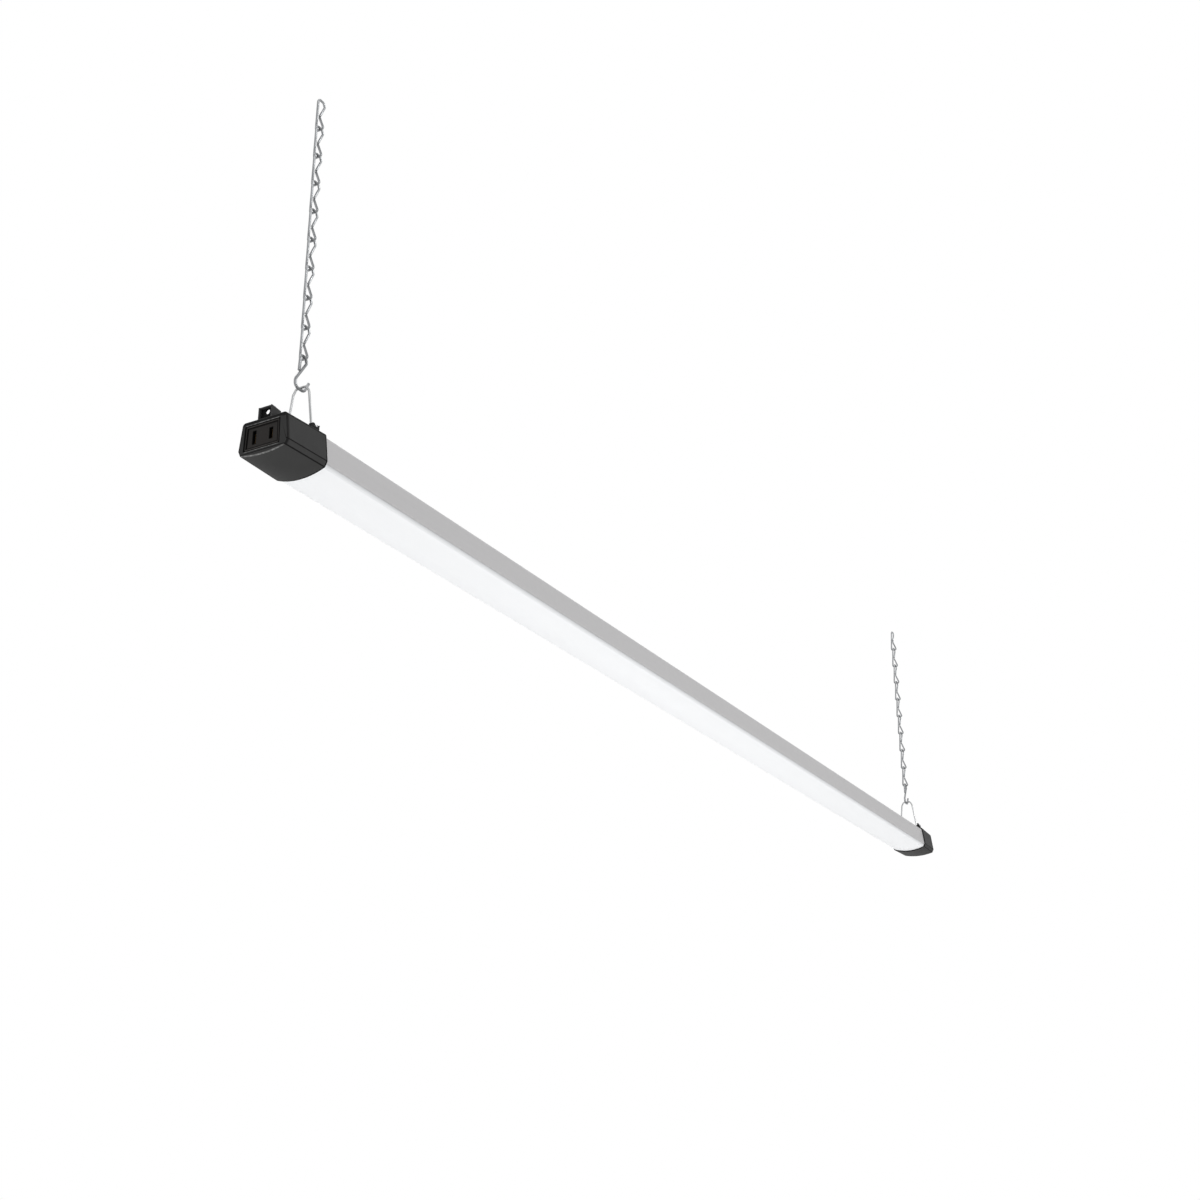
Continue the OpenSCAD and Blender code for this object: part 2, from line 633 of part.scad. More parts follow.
hung() housing();
hung() diffuser();
hung() near_end_cap();
hung() far_end_cap();
hung() outlet_insert();
hung() cord_bushing();
hung() light_board();
hung() light_chips();
hung() board_screws();
hung() wire_grommet();
hung() driver_tray();
hung() driver_board();
hung() driver_fuse();
hung() driver_varistor();
hung() driver_choke();
hung() driver_filter_capacitor();
hung() driver_bulk_capacitor();
hung() driver_transformer_core();
hung() driver_transformer_coil();
hung() driver_output_capacitor();
hung() terminal_block();
hung() terminal_screws();
hung() feed_wire_live();
hung() feed_wire_neutral();
hung() driver_wire_live();
hung() driver_wire_neutral();
hung() board_wire_positive();
hung() board_wire_negative();
hung() contact(-1);  // outlet_contact_live
hung() contact(1);  // outlet_contact_neutral
hung() cap_screws();  // near_cap_screws
hung() far_end() cap_screws();  // far_cap_screws
hung() bail();  // near_bail
hung() far_end() bail();  // far_bail
s_hook();  // near_hook
translate([bail_span, 0, 0]) s_hook();  // far_hook
for (i = [1:link_count]) {
    link(i);
    translate([bail_span, 0, 0]) link(i);
}
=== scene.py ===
"""Hanging shop light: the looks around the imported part, in Blender."""

import math

import bmesh
import bpy
from mathutils import Matrix, Vector, geometry


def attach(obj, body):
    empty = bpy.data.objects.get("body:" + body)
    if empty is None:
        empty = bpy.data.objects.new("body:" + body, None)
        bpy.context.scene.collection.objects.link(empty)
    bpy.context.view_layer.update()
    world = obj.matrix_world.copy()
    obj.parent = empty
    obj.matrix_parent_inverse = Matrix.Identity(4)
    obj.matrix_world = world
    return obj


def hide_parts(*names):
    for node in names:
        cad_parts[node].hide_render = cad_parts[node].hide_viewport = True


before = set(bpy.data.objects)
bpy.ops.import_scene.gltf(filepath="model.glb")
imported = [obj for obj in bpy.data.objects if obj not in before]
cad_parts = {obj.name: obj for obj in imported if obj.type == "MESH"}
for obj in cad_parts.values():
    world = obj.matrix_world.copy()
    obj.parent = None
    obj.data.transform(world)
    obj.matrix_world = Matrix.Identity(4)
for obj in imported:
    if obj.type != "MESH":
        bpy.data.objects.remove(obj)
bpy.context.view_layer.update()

# ---- Sizes in millimetres, as the part's source has them -----------------------------------------

MM = 0.001  # in metres
FIXTURE_L = 1219.0
CAP_L = 36.5
RIM_HALF_TOP = 17.9
RIM_HALF_LOW = 20.2
SIDE_H = 19.6
CAP_H = 26.9
CHAMFER_W = 1.7
CHAMFER_H = 3.6
CHAMFER_LIFT = 0.45  # how far the chamfer's foot rises for each millimetre taken in
FACE_SCALE = 0.93
FACE_DROP = 1.0
FACE_RISE = 1.5
CAP_WALL = 1.8
CORNER_TOP_R = 2.2
CAP_CORNER_R = 0.6
RIM_CORNER_R = 1.6
CORNER_STEPS = 8
HOUSING_INSET = 1.2
HOUSING_OVERLAP = 8.0
HOUSING_WALL = 1.2
HOUSING_END_GAP = 0.3
DIFFUSER_WALL = 1.2
CHAMBER_H = 12.6
FIT = 0.1
LENS_GAP = 0.12
LIP_Z = -SIDE_H - 0.9  # the housing's lower lips
RIB = 0.9
RIB_IN = 1.2
BARB_H = 0.9
BARB_OUT = 0.7
WEB_T = 1.0

BAIL_INSET = CAP_L - 5.0  # from the cap's face
BAIL_D = 1.6
BAIL_H = 33.8
BAIL_HALF_TOP = 6.2
BAIL_HALF_LOW = 9.8
FOOT_H = 4.0
LINK_COUNT = 9
LINK_PITCH = 22.0
LINK_D = 1.7
LINK_HALF_W = 2.95
HOOK_D = 2.0
HOOK_PITCH = 22.0
BEARING_GAP = 0.2
CLIP_W = 2.4
CLIP_Y = BAIL_HALF_LOW + 1.4
CLIP_FOOT = 0.9  # how deep a clip stands in its cap

SLOT_SPACING = 12.7
NEUTRAL_SLOT_H = 8.7
LIVE_SLOT_H = 7.1
SLOT_W = 2.3
OUTLET_Y = 1.0
WINDOW_HALF = 12.9
WINDOW_FLARE = 0.5  # how much wider each side is at the foot
WINDOW_R = 0.8
WINDOW_H = 16.6
WINDOW_TOP = 4.3
WINDOW_MID = -WINDOW_TOP - WINDOW_H / 2
INLET_R = 3.7
EAR_HOLE_R = 1.9
EAR_W = 10.4
EAR_H = 6.4
EAR_L = 8.5
EAR_WALL = 0.9
EAR_RECESS = 2.0
EAR_PLATE = 1.6

BAIL_SPAN = FIXTURE_L - 2 * BAIL_INSET
HANG_DROP = LINK_COUNT * LINK_PITCH + HOOK_PITCH + BAIL_H
HOUSING_X0 = CAP_L - HOUSING_OVERLAP + HOUSING_END_GAP
HOUSING_X1 = FIXTURE_L - HOUSING_X0
SOCKET_X = CAP_L - HOUSING_OVERLAP


# ---- Outlines across the light, as (y, z) --------------------------------------------------------

def fillet(p, q, s, r, n):
    """Points of a fillet of radius r at the corner q between p and s."""
    if r == 0:
        return [q]
    p, q, s = Vector(p), Vector(q), Vector(s)
    u, v = (p - q).normalized(), (s - q).normalized()
    half = u.angle(v) / 2
    centre = q + (u + v).normalized() * r / math.sin(half)
    arm = q + u * r / math.tan(half) - centre
    turn = (math.pi - 2 * half) * (-1 if u.x * v.y - u.y * v.x > 0 else 1)
    out = []
    for k in range(n + 1):
        t = turn * k / n
        out.append((centre.x + arm.x * math.cos(t) - arm.y * math.sin(t),
                    centre.y + arm.x * math.sin(t) + arm.y * math.cos(t)))
    return out


def rounded(pts, radii, n):
    """A closed outline with a fillet of its own radius at each corner, in n steps."""
    out = []
    for i, q in enumerate(pts):
        out += fillet(pts[i - 1], q, pts[(i + 1) % len(pts)], radii[i], n)
    return out


def crown(w, edge, mid, steps=40):
    """The crowned underside from y = w to y = -w, without its two ends."""
    sag = edge - mid
    r = (w * w + sag * sag) / (2 * sag)
    ys = [w * (1 - 2 * k / steps) for k in range(1, steps)]
    return [(y, mid + r - math.sqrt(r * r - y * y)) for y in ys]


def side_half(z):
    """Half width of the rim's sides at z."""
    return RIM_HALF_TOP + (RIM_HALF_LOW - RIM_HALF_TOP) * -z / SIDE_H


def end_outline(top_half, low_half, top_z, mid_z, r, i):
    """An end cap's outline, taken in by i, with lower corners of radius r."""
    top_w = top_half + (low_half - top_half) * i / (top_z + SIDE_H) - i
    low_w = low_half - i
    cut_w, cut_z = low_w - CHAMFER_W, -SIDE_H - CHAMFER_H + CHAMFER_LIFT * i
    ridge = crown(cut_w, cut_z, mid_z + i)
    pts = [(-top_w, top_z - i), (top_w, top_z - i), (low_w, -SIDE_H), (cut_w, cut_z)] + ridge
    pts += [(-cut_w, cut_z), (-low_w, -SIDE_H)]
    radii = [CORNER_TOP_R, CORNER_TOP_R, r, r] + [0] * len(ridge) + [r, r]
    return rounded(pts, radii, CORNER_STEPS)


def section(i, r=RIM_CORNER_R):
    """The rim's outline, taken in by i."""
    return end_outline(RIM_HALF_TOP, RIM_HALF_LOW, 0.0, -CAP_H, r, i)


def face_section(i):
    """The outer end's outline, taken in by i."""
    return end_outline(RIM_HALF_TOP * FACE_SCALE, RIM_HALF_LOW * FACE_SCALE, -FACE_DROP,
                       FACE_RISE - CAP_H, CAP_CORNER_R, i)


def mix_outline(a, b, t):
    """The outline a share t of the way from a to b."""
    return [(p[0] + (q[0] - p[0]) * t, p[1] + (q[1] - p[1]) * t) for p, q in zip(a, b)]


def circle(r, n, z):
    """A circle of n points, its centre at height z."""
    turn = [2 * math.pi * k / n for k in range(n)]
    return [(r * math.cos(t), z + r * math.sin(t)) for t in turn]


def window(i):
    """The outlet's window, taken in by i, its corners sharper the further in."""
    low = -WINDOW_TOP - WINDOW_H
    top_w, low_w = WINDOW_HALF - i, WINDOW_HALF + WINDOW_FLARE - i
    pts = [(-top_w, -WINDOW_TOP - i), (top_w, -WINDOW_TOP - i), (low_w, low + i), (-low_w, low + i)]
    r = max(WINDOW_R - i * 0.3, 0.2)
    return rounded([(OUTLET_Y + y, z) for y, z in pts], [r] * 4, 4)


def window_values(i, level, upright=0.0):
    """One value per point of window(i): level on its level runs, upright elsewhere."""
    tops = (-WINDOW_TOP - i, -WINDOW_TOP - WINDOW_H + i)
    return [level if min(abs(z - t) for t in tops) < 0.02 else upright for y, z in window(i)]


def rectangle(y, z, w, h, r=0.0):
    """A rectangle about (y, z), its corners rounded by r."""
    y0, y1, z0, z1 = y - w / 2, y + w / 2, z - h / 2, z + h / 2
    pts = [(y0, z0), (y1, z0), (y1, z1), (y0, z1)]
    return rounded(pts, [r] * 4, 3) if r else pts


# ---- Mesh building -------------------------------------------------------------------------------

class Shell:
    """Points and faces in millimetres. Each point has an edge wear, on the caps and the outlet
    partly a painted highlight, a dark line of painted shade, and its place round and along a wire."""

    def __init__(self):
        self.points, self.faces, self.edge, self.line, self.along = [], [], [], [], []

    def ring(self, pts, edge=0.0, line=None, along=None):
        """Adds points and returns their numbers; edge is one value or a list, the others lists."""
        first = len(self.points)
        self.points += [tuple(p) for p in pts]
        count = len(self.points) - first
        self.edge += edge if isinstance(edge, list) else [edge] * count
        self.line += line if line is not None else [0.0] * count
        self.along += along if along is not None else [(0.0, 0.0, 0.0)] * count
        return list(range(first, first + count))

    def across(self, x, outline, edge=0.0, line=None):
        """A ring of an outline (y, z) at x."""
        return self.ring([(x, y, z) for y, z in outline], edge, line)

    def bridge(self, a, b):
        """Faces between two rings of as many points."""
        for k in range(len(a)):
            m = (k + 1) % len(a)
            self.faces.append((a[k], a[m], b[m], b[k]))

    def loft(self, rings):
        """Faces through a row of rings; returns the last."""
        for a, b in zip(rings, rings[1:]):
            self.bridge(a, b)
        return rings[-1]

    def fill(self, outer, *holes):
        """A flat face over one ring, with holes."""
        loops = [outer, *holes]
        flat = [i for loop in loops for i in loop]
        corners = [[Vector(self.points[i]) for i in loop] for loop in loops]
        self.faces += [tuple(flat[i] for i in tri) for tri in geometry.tessellate_polygon(corners)]

    def dulled(self, value):
        """The same shell, darker all over, as a place that no light reaches well."""
        self.line = [max(v, value) for v in self.line]
        return self

    def raised(self, dz):
        """The same shell, higher by dz."""
        self.points = [(x, y, z + dz) for x, y, z in self.points]
        return self

    def add(self, other):
        """Takes in another shell."""
        first = len(self.points)
        self.points += other.points
        self.edge += other.edge
        self.line += other.line
        self.along += other.along
        self.faces += [tuple(i + first for i in f) for f in other.faces]


def piece(name, shell, material, body, nodes, to_model, crisp=32):
    """An object made from a shell, which rides on a body and replaces CAD nodes.

    to_model turns the shell's points to the model's frame, still in millimetres. Edges sharper
    than crisp degrees are shaded sharp."""
    mesh = bpy.data.meshes.new(name)
    points = [tuple(c * MM for c in to_model(p)) for p in shell.points]
    mesh.from_pydata(points, [], shell.faces)
    for label, values in (("edge", shell.edge), ("line", shell.line)):
        mesh.attributes.new(label, "FLOAT", "POINT").data.foreach_set("value", values)
    flat = [c for v in shell.along for c in v]
    mesh.attributes.new("along", "FLOAT_VECTOR", "POINT").data.foreach_set("vector", flat)
    bm = bmesh.new()
    bm.from_mesh(mesh)
    bmesh.ops.recalc_face_normals(bm, faces=bm.faces)
    bm.to_mesh(mesh)
    bm.free()
    mesh.shade_smooth()
    mesh.set_sharp_from_angle(angle=math.radians(crisp))
    mesh.materials.append(material)
    obj = bpy.data.objects.new(name, mesh)
    bpy.context.scene.collection.objects.link(obj)
    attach(obj, body)
    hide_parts(*nodes)


def near(p):
    """From a frame at the near cap's face and its rim's top to the model's frame."""
    return (p[0] - BAIL_INSET, p[1], p[2] - HANG_DROP)


def far(p):
    """The same for the far cap, turned end for end."""
    return near((FIXTURE_L - p[0], p[1], p[2]))


# Rims of bevelled plates are lighter: wear, and on the caps' ear and clips also a painted
# highlight.
RIM_WEAR = 0.6


def bevelled(outline, holes, thickness, place, size=0.2):
    """A closed plate over an outline with holes, its rims rounded off by size.

    place turns (a, b, h), in the outline and through the plate, to a point."""
    shell, soft = Shell(), size * 0.3
    profile = ((0, size), (soft, soft), (size, 0),
               (thickness - size, 0), (thickness - soft, soft), (thickness, size))

    def rim(pts, way):
        """The ring stack of one rim, from the lower face to the upper."""
        rings = []
        for depth, inset in profile:
            moved = offset(pts, way * inset)
            wear_and_highlight = RIM_WEAR if 0 < inset < size else 0.0
            rings.append(shell.ring([place(a, b, depth) for a, b in moved], wear_and_highlight))
        shell.loft(rings)
        return rings[0], rings[-1]

    ends = [rim(outline, 1)] + [rim(h, -1) for h in holes]
    shell.fill(*[e[0] for e in ends])
    shell.fill(*[e[1] for e in ends])
    return shell


def offset(pts, d):
    """A closed outline moved inwards by d, or outwards for d below 0."""
    if d == 0:
        return list(pts)
    n = len(pts)
    area = sum(pts[i - 1][0] * pts[i][1] - pts[i][0] * pts[i - 1][1] for i in range(n))
    way = 1 if area > 0 else -1
    out = []
    for i in range(n):
        a, q, b = Vector(pts[i - 1]), Vector(pts[i]), Vector(pts[(i + 1) % n])
        u, v = (q - a).normalized(), (b - q).normalized()
        nu, nv = Vector((-u.y, u.x)) * way, Vector((-v.y, v.x)) * way
        m = nu + nv
        m = m / max(m.dot(nu), 0.3)  # 0.3 keeps sharp corners from running out far
        out.append((q.x + m.x * d, q.y + m.y * d))
    return out


# ---- Materials -----------------------------------------------------------------------------------

def linear(look):
    """A "#rrggbb" colour as it looks on screen, turned to Blender's linear values."""
    levels = [int(look[i:i + 2], 16) / 255 for i in (1, 3, 5)]
    lin = [c / 12.92 if c <= 0.04045 else ((c + 0.055) / 1.055) ** 2.4 for c in levels]
    return (*lin, 1.0)


class Nodes:
    """A small builder for one material's nodes."""

    def __init__(self, name):
        self.material = bpy.data.materials.new(name)
        self.material.use_nodes = True
        self.tree = self.material.node_tree
        self.shader = self.tree.nodes["Principled BSDF"]
        self.coords = None

    def new(self, kind, **values):
        """A new node with its own settings."""
        node = self.tree.nodes.new(kind)
        for key, value in values.items():
            setattr(node, key, value)
        return node

    def link(self, a, b):
        self.tree.links.new(a, b)

    def place(self, scale=(1, 1, 1), source=None):
        """Object coordinates, or another vector, scaled."""
        if source is None:
            if self.coords is None:
                self.coords = self.new("ShaderNodeTexCoord")
            source = self.coords.outputs["Object"]
        mapping = self.new("ShaderNodeMapping")
        mapping.inputs["Scale"].default_value = scale
        self.link(source, mapping.inputs["Vector"])
        return mapping.outputs["Vector"]

    def noise(self, scale, detail=3.0, rough=0.55, stretch=(1, 1, 1), source=None):
        """Noise, finer the larger its scale, and drawn out where stretch is small."""
        node = self.new("ShaderNodeTexNoise")
        node.inputs["Scale"].default_value = scale
        node.inputs["Detail"].default_value = detail
        node.inputs["Roughness"].default_value = rough
        self.link(self.place(stretch, source), node.inputs["Vector"])
        return node.outputs["Fac"]

    def ramp(self, value, stops):
        """A value mapped and clamped between two stops of (value, result)."""
        node = self.new("ShaderNodeMapRange")
        node.inputs["From Min"].default_value = stops[0][0]
        node.inputs["From Max"].default_value = stops[1][0]
        node.inputs["To Min"].default_value = stops[0][1]
        node.inputs["To Max"].default_value = stops[1][1]
        self.link(value, node.inputs["Value"])
        return node.outputs["Result"]

    def math(self, how, a, b):
        node = self.new("ShaderNodeMath", operation=how)
        for socket, value in zip(node.inputs, (a, b)):
            if isinstance(value, (int, float)):
                socket.default_value = value
            else:
                self.link(value, socket)
        return node.outputs[0]

    def attribute(self, name, output="Fac"):
        node = self.new("ShaderNodeAttribute", attribute_name=name)
        return node.outputs[output]

    def mix(self, factor, a, b):
        """A colour from a to b, each a colour or a node's output."""
        node = self.new("ShaderNodeMix", data_type="RGBA", blend_type="MIX")
        self.link(factor, node.inputs[0])
        for socket, value in ((node.inputs[6], a), (node.inputs[7], b)):
            if isinstance(value, tuple):
                socket.default_value = value
            else:
                self.link(value, socket)
        return node.outputs[2]

    def colour(self, value):
        self.link(value, self.shader.inputs["Base Color"])

    def rough(self, value):
        self.link(value, self.shader.inputs["Roughness"])

    def bump(self, height, strength, distance):
        node = self.new("ShaderNodeBump")
        node.inputs["Strength"].default_value = strength
        node.inputs["Distance"].default_value = distance
        self.link(height, node.inputs["Height"])
        self.link(node.outputs["Normal"], self.shader.inputs["Normal"])

    def set(self, **values):
        """Sets the shader's own sockets, an underscore for each space in a name."""
        for key, value in values.items():
            self.shader.inputs[key.replace("_", " ")].default_value = value


def shade(colour, k):
    """A colour made k times as bright."""
    return (*(min(1.0, c * k) for c in colour[:3]), 1.0)


def plastic(name, look, rough, wear_and_highlight):
    """Moulded plastic: fine spark-eroded grain, cloudy tone, edges rubbed lighter and smoother,
    and on the caps and the outlet that lighter edge is also a painted highlight.

    The last argument is how many times as bright an edge gets. Lines drawn on the shell are
    near-black painted shade."""
    m, base = Nodes(name), linear(look)
    cloud = m.ramp(m.noise(55, 3), ((0.3, 0.0), (0.7, 1.0)))
    tone = m.mix(cloud, shade(base, 0.93), shade(base, 1.07))
    patchy = m.ramp(m.noise(420, 2), ((0.35, 0.25), (0.65, 1.0)))
    # edge wear in patches, on the caps and the outlet also a painted highlight
    rub = m.math("MULTIPLY", m.attribute("edge"), patchy)
    tone = m.mix(rub, tone, shade(base, wear_and_highlight))
    # painted shade: the shell's dark lines
    tone = m.mix(m.attribute("line"), tone, shade(base, 0.08))
    m.colour(tone)
    fine = m.noise(1400, 2, 0.6)
    level = m.ramp(fine, ((0.3, rough - 0.05), (0.7, rough + 0.06)))
    m.rough(m.math("SUBTRACT", level, m.math("MULTIPLY", rub, 0.1)))
    m.bump(fine, 0.35, 0.00002)
    m.set(Specular_IOR_Level=0.03)
    return m.material


def painted_metal(name, look, rough):
    """Painted sheet: orange peel, faint lengthwise rolling lines, edges rubbed lighter."""
    m, base = Nodes(name), linear(look)
    streak = m.noise(9, 3, 0.6, (0.6, 60, 60))
    tone = m.mix(m.ramp(streak, ((0.3, 0.0), (0.7, 1.0))), shade(base, 0.985), shade(base, 1.015))
    cloud = m.ramp(m.noise(6, 2), ((0.35, 0.0), (0.7, 0.5)))
    tone = m.mix(cloud, tone, shade(base, 0.985))
    patchy = m.ramp(m.noise(260, 2), ((0.4, 0.1), (0.6, 0.8)))
    rub = m.math("MULTIPLY", m.attribute("edge"), patchy)
    m.colour(m.mix(rub, tone, shade(base, 1.15)))
    m.rough(m.ramp(m.noise(300, 2), ((0.3, rough - 0.04), (0.7, rough + 0.05))))
    m.bump(m.noise(700, 2), 0.1, 0.00001)
    m.set(Specular_IOR_Level=0.35)
    return m.material


def milky(name, look):
    """Extruded milky lens: faint lengthwise lines over a soft, light-scattering body."""
    m, base = Nodes(name), linear(look)
    lines = m.noise(7, 3, 0.6, (0.25, 90, 90))
    tone = m.mix(m.ramp(lines, ((0.3, 0.0), (0.7, 1.0))), shade(base, 0.992), shade(base, 1.008))
    tone = m.mix(m.ramp(m.noise(24, 2), ((0.4, 0.0), (0.7, 0.5))), tone, shade(base, 0.99))
    # painted shade: darker where the shell's line is, beside the lens's neck
    m.colour(m.mix(m.attribute("line"), tone, shade(base, 0.55)))
    m.rough(m.ramp(lines, ((0.3, 0.42), (0.7, 0.52))))
    m.bump(lines, 0.12, 0.00002)
    m.set(Specular_IOR_Level=0.3, Subsurface_Weight=0.25, Subsurface_Scale=0.003,
          Subsurface_Radius=(1.0, 1.0, 1.0))
    # a faint painted glow, which lightens the lens
    m.set(Emission_Color=linear("#f4f7ff"), Emission_Strength=0.06)
    return m.material


def drawn_wire(name, look, rough, dull=0.6):
    """Zinc-plated drawn wire: fine lines along it, light and dark enough to be a painted
    reflection, cloudy plating, darker where pieces rub.
    """
    m, base = Nodes(name), linear(look)
    run = m.attribute("along", "Vector")
    # drawn lines along the wire, their strong light and dark a painted reflection
    lines = m.noise(3.2, 3, 0.6, (1, 1, 0.015), run)
    tone = m.mix(m.ramp(lines, ((0.4, 0.0), (0.6, 1.0))), shade(base, 0.45), shade(base, 1.3))
    cloud = m.ramp(m.noise(180, 3), ((0.42, 0.0), (0.68, 0.5)))
    tone = m.mix(cloud, tone, shade(base, dull))
    m.colour(m.mix(m.attribute("edge"), tone, shade(base, 0.45)))
    m.rough(m.ramp(m.noise(260, 2), ((0.3, rough), (0.7, rough + 0.16))))
    m.bump(lines, 0.15, 0.00001)
    m.set(Metallic=0.7, Specular_IOR_Level=0.2)
    return m.material


def plain(name, look, rough, metallic=0.0, scale=300, spread=0.12):
    """Small inner parts: cloudy in tone by spread, and grained at a scale of its own."""
    m, base = Nodes(name), linear(look)
    cloud = m.ramp(m.noise(scale, 3), ((0.3, 0.0), (0.7, 1.0)))
    m.colour(m.mix(cloud, shade(base, 1 - spread), shade(base, 1 + spread)))
    fine = m.noise(scale * 5, 2)
    m.rough(m.ramp(fine, ((0.3, rough - 0.06), (0.7, rough + 0.08))))
    m.bump(fine, 0.2, 0.00002)
    m.set(Metallic=metallic)
    return m.material


def rubber(name, look):
    """Moulded rubber: fine grain and a pale bloom."""
    m, base = Nodes(name), linear(look)
    bloom = m.ramp(m.noise(160, 3), ((0.45, 0.0), (0.75, 0.6)))
    m.colour(m.mix(bloom, base, shade(base, 1.8)))
    fine = m.noise(2200, 2)
    m.rough(m.ramp(fine, ((0.3, 0.62), (0.7, 0.78))))
    m.bump(fine, 0.3, 0.00002)
    return m.material


CAP_PLASTIC = plastic("cap_plastic", "#3b3b3b", 0.5, 6.0)
OUTLET_PLASTIC = plastic("outlet_plastic", "#333130", 0.45, 5.0)
HOUSING_PAINT = painted_metal("housing_paint", "#afaeaf", 0.45)
LENS = milky("lens_milky", "#f1f2f4")
CHAIN_WIRE = drawn_wire("chain_wire", "#a6a8aa", 0.22)
HOOK_WIRE = drawn_wire("hook_wire", "#9c9ea0", 0.2)
BAIL_WIRE = drawn_wire("bail_wire", "#c4c5c6", 0.28, 0.85)
RUBBER = rubber("bushing_rubber", "#1f1f20")


# ---- End caps ------------------------------------------------------------------------------------

FACE_R = 0.8  # the round from the sides to the face
MOUTH_R = 0.35
CORNERS = 6
GUARD = 0.4
ROUND = 64  # sides of the cord inlet and its bushing
CROWN_Z = -SIDE_H - CHAMFER_H + 0.4  # the crowned underside lies below this
# the painted highlight's share on the face's rounding away from the crown
HIGHLIGHT_ELSEWHERE = 0.12
# painted shade along the rounded corners
CORNER_LINES = (0.0, 0.75, 0.75, 0.95, 0.95, 0.95, 0.95)  # by corner number: top ones are fainter
# painted shade round the face's rounding and round the mouth
FACE_LINE = 0.8
MOUTH_LINE = 0.9


def corner_marks(outline):
    """The number of each point's rounded corner, from 1, or 0 on a straight or crowned run."""
    per = CORNER_STEPS + 1
    ridge = len(outline) - CORNERS * per
    first = [c for c in (1, 2, 3, 4) for _ in range(per)]
    return first + [0] * ridge + [c for c in (5, 6) for _ in range(per)]


def guarded(outline):
    """An outline with added points close to its corners, and each point's corner number.

    The added points have no line, so that a corner's line stays at its corner."""
    marks, out, kinds = corner_marks(outline), [], []
    for k, p in enumerate(outline):
        m = (k + 1) % len(outline)
        out.append(p)
        kinds.append(marks[k])
        if marks[k] != marks[m]:
            p, q = Vector(p), Vector(outline[m])
            step = (q - p).normalized() * GUARD
            out += [tuple(p + step), tuple(q - step)]
            kinds += [0, 0]
    return out, kinds


def cap_ring(shell, x, outline, painted_highlight=0.0, dark=0.0):
    """A ring of a cap, with a painted highlight under the crown and a dark line of painted shade
    drawn round it, as the last two arguments give them.

    Only the mouth's line goes on under the crown."""
    pts, kinds = guarded(outline)
    edge = [painted_highlight if z < CROWN_Z else painted_highlight * HIGHLIGHT_ELSEWHERE for y, z in pts]
    line = [max(dark if z > CROWN_Z or dark > FACE_LINE else 0.0, CORNER_LINES[kind])
            for (y, z), kind in zip(pts, kinds)]
    return shell.across(x, pts, edge, line)


def cap_outer(shell):
    """The outside from the face's rim to the mouth; returns the first and the last ring."""
    face_steps, side_steps, mouth_steps = 6, 11, 4
    rings = []
    for k in range(face_steps + 1):
        t = math.radians(90 * k / face_steps)
        i, x = FACE_R * (1 - math.sin(t)), FACE_R * (1 - math.cos(t))
        # the face's rounding between its ends gets the painted highlight
        painted_highlight = 0.0 if k in (0, face_steps) else 1.0
        rings.append(cap_ring(shell, x, face_section(i), painted_highlight, FACE_LINE if k > 1 else 0.0))

    a, b = face_section(0), section(0, CAP_CORNER_R)
    start, end = FACE_R + 2.0, CAP_L - MOUTH_R
    # x of each ring along the side, and the painted shade drawn round it
    side = [(FACE_R + 0.4, FACE_LINE), (FACE_R + 0.8, 0.5), (start, 0.0)]
    side += [(start + (end - 1.0 - start) * k / side_steps, 0.0) for k in range(1, side_steps + 1)]
    side += [(end - 0.6, MOUTH_LINE), (end, MOUTH_LINE)]
    for x, dark in side:
        outline = mix_outline(a, b, (x - FACE_R) / (CAP_L - FACE_R))
        rings.append(cap_ring(shell, x, outline, 0.0, dark))

    for k in range(1, mouth_steps + 1):
        t = math.radians(90 * k / mouth_steps)
        i, x = MOUTH_R * (1 - math.cos(t)), end + MOUTH_R * math.sin(t)
        rings.append(cap_ring(shell, x, section(i, CAP_CORNER_R), 0.0, MOUTH_LINE))
    shell.loft(rings)
    return rings[0], rings[-1]


def cap_inner(shell, mouth):
    """The socket and the hollow, from the mouth's rim to the inside of the face."""
    grip, lead_in, ledge = HOUSING_INSET - FIT, 0.25, 0.5
    rings = [(CAP_L, section(grip - lead_in)), (CAP_L - lead_in, section(grip)),
             (SOCKET_X, section(grip)), (SOCKET_X, section(CAP_WALL + ledge)),
             (CAP_WALL, face_section(CAP_WALL))]
    return shell.loft([mouth] + [shell.across(x, guarded(outline)[0]) for x, outline in rings])


def ear():
    """Upright ear: a holed plate between two cheeks, closed above by a strip."""
    base = -FACE_DROP - 0.6  # sunk into the cap's top
    shell = Shell()
    cheek = [(0, base), (EAR_L, base), (EAR_L, EAR_H - 0.8), (EAR_L - 1.2, EAR_H - 0.7), (0, EAR_H)]
    for s in (-1, 1):
        y0 = s * (EAR_W - EAR_WALL) / 2 - EAR_WALL / 2
        shell.add(bevelled(cheek, [], EAR_WALL, lambda a, b, h, y0=y0: (a, y0 + h, b)))
    half, top = EAR_W / 2 - 0.1, EAR_H - 0.15
    plate = [(-half, base), (half, base), (half, top), (-half, top)]
    hole = circle(EAR_HOLE_R, 40, EAR_H * 0.56)
    web = bevelled(plate, [hole], EAR_PLATE, lambda a, b, h: (EAR_RECESS + h, a, b))
    shell.add(web.dulled(0.85))
    strip = rectangle(EAR_RECESS / 2 + 0.1, 0, EAR_RECESS + 0.2, EAR_W - 0.2)
    shell.add(bevelled(strip, [], EAR_WALL - 0.1, lambda a, b, h: (a, b, EAR_H - EAR_WALL + h)))
    return shell


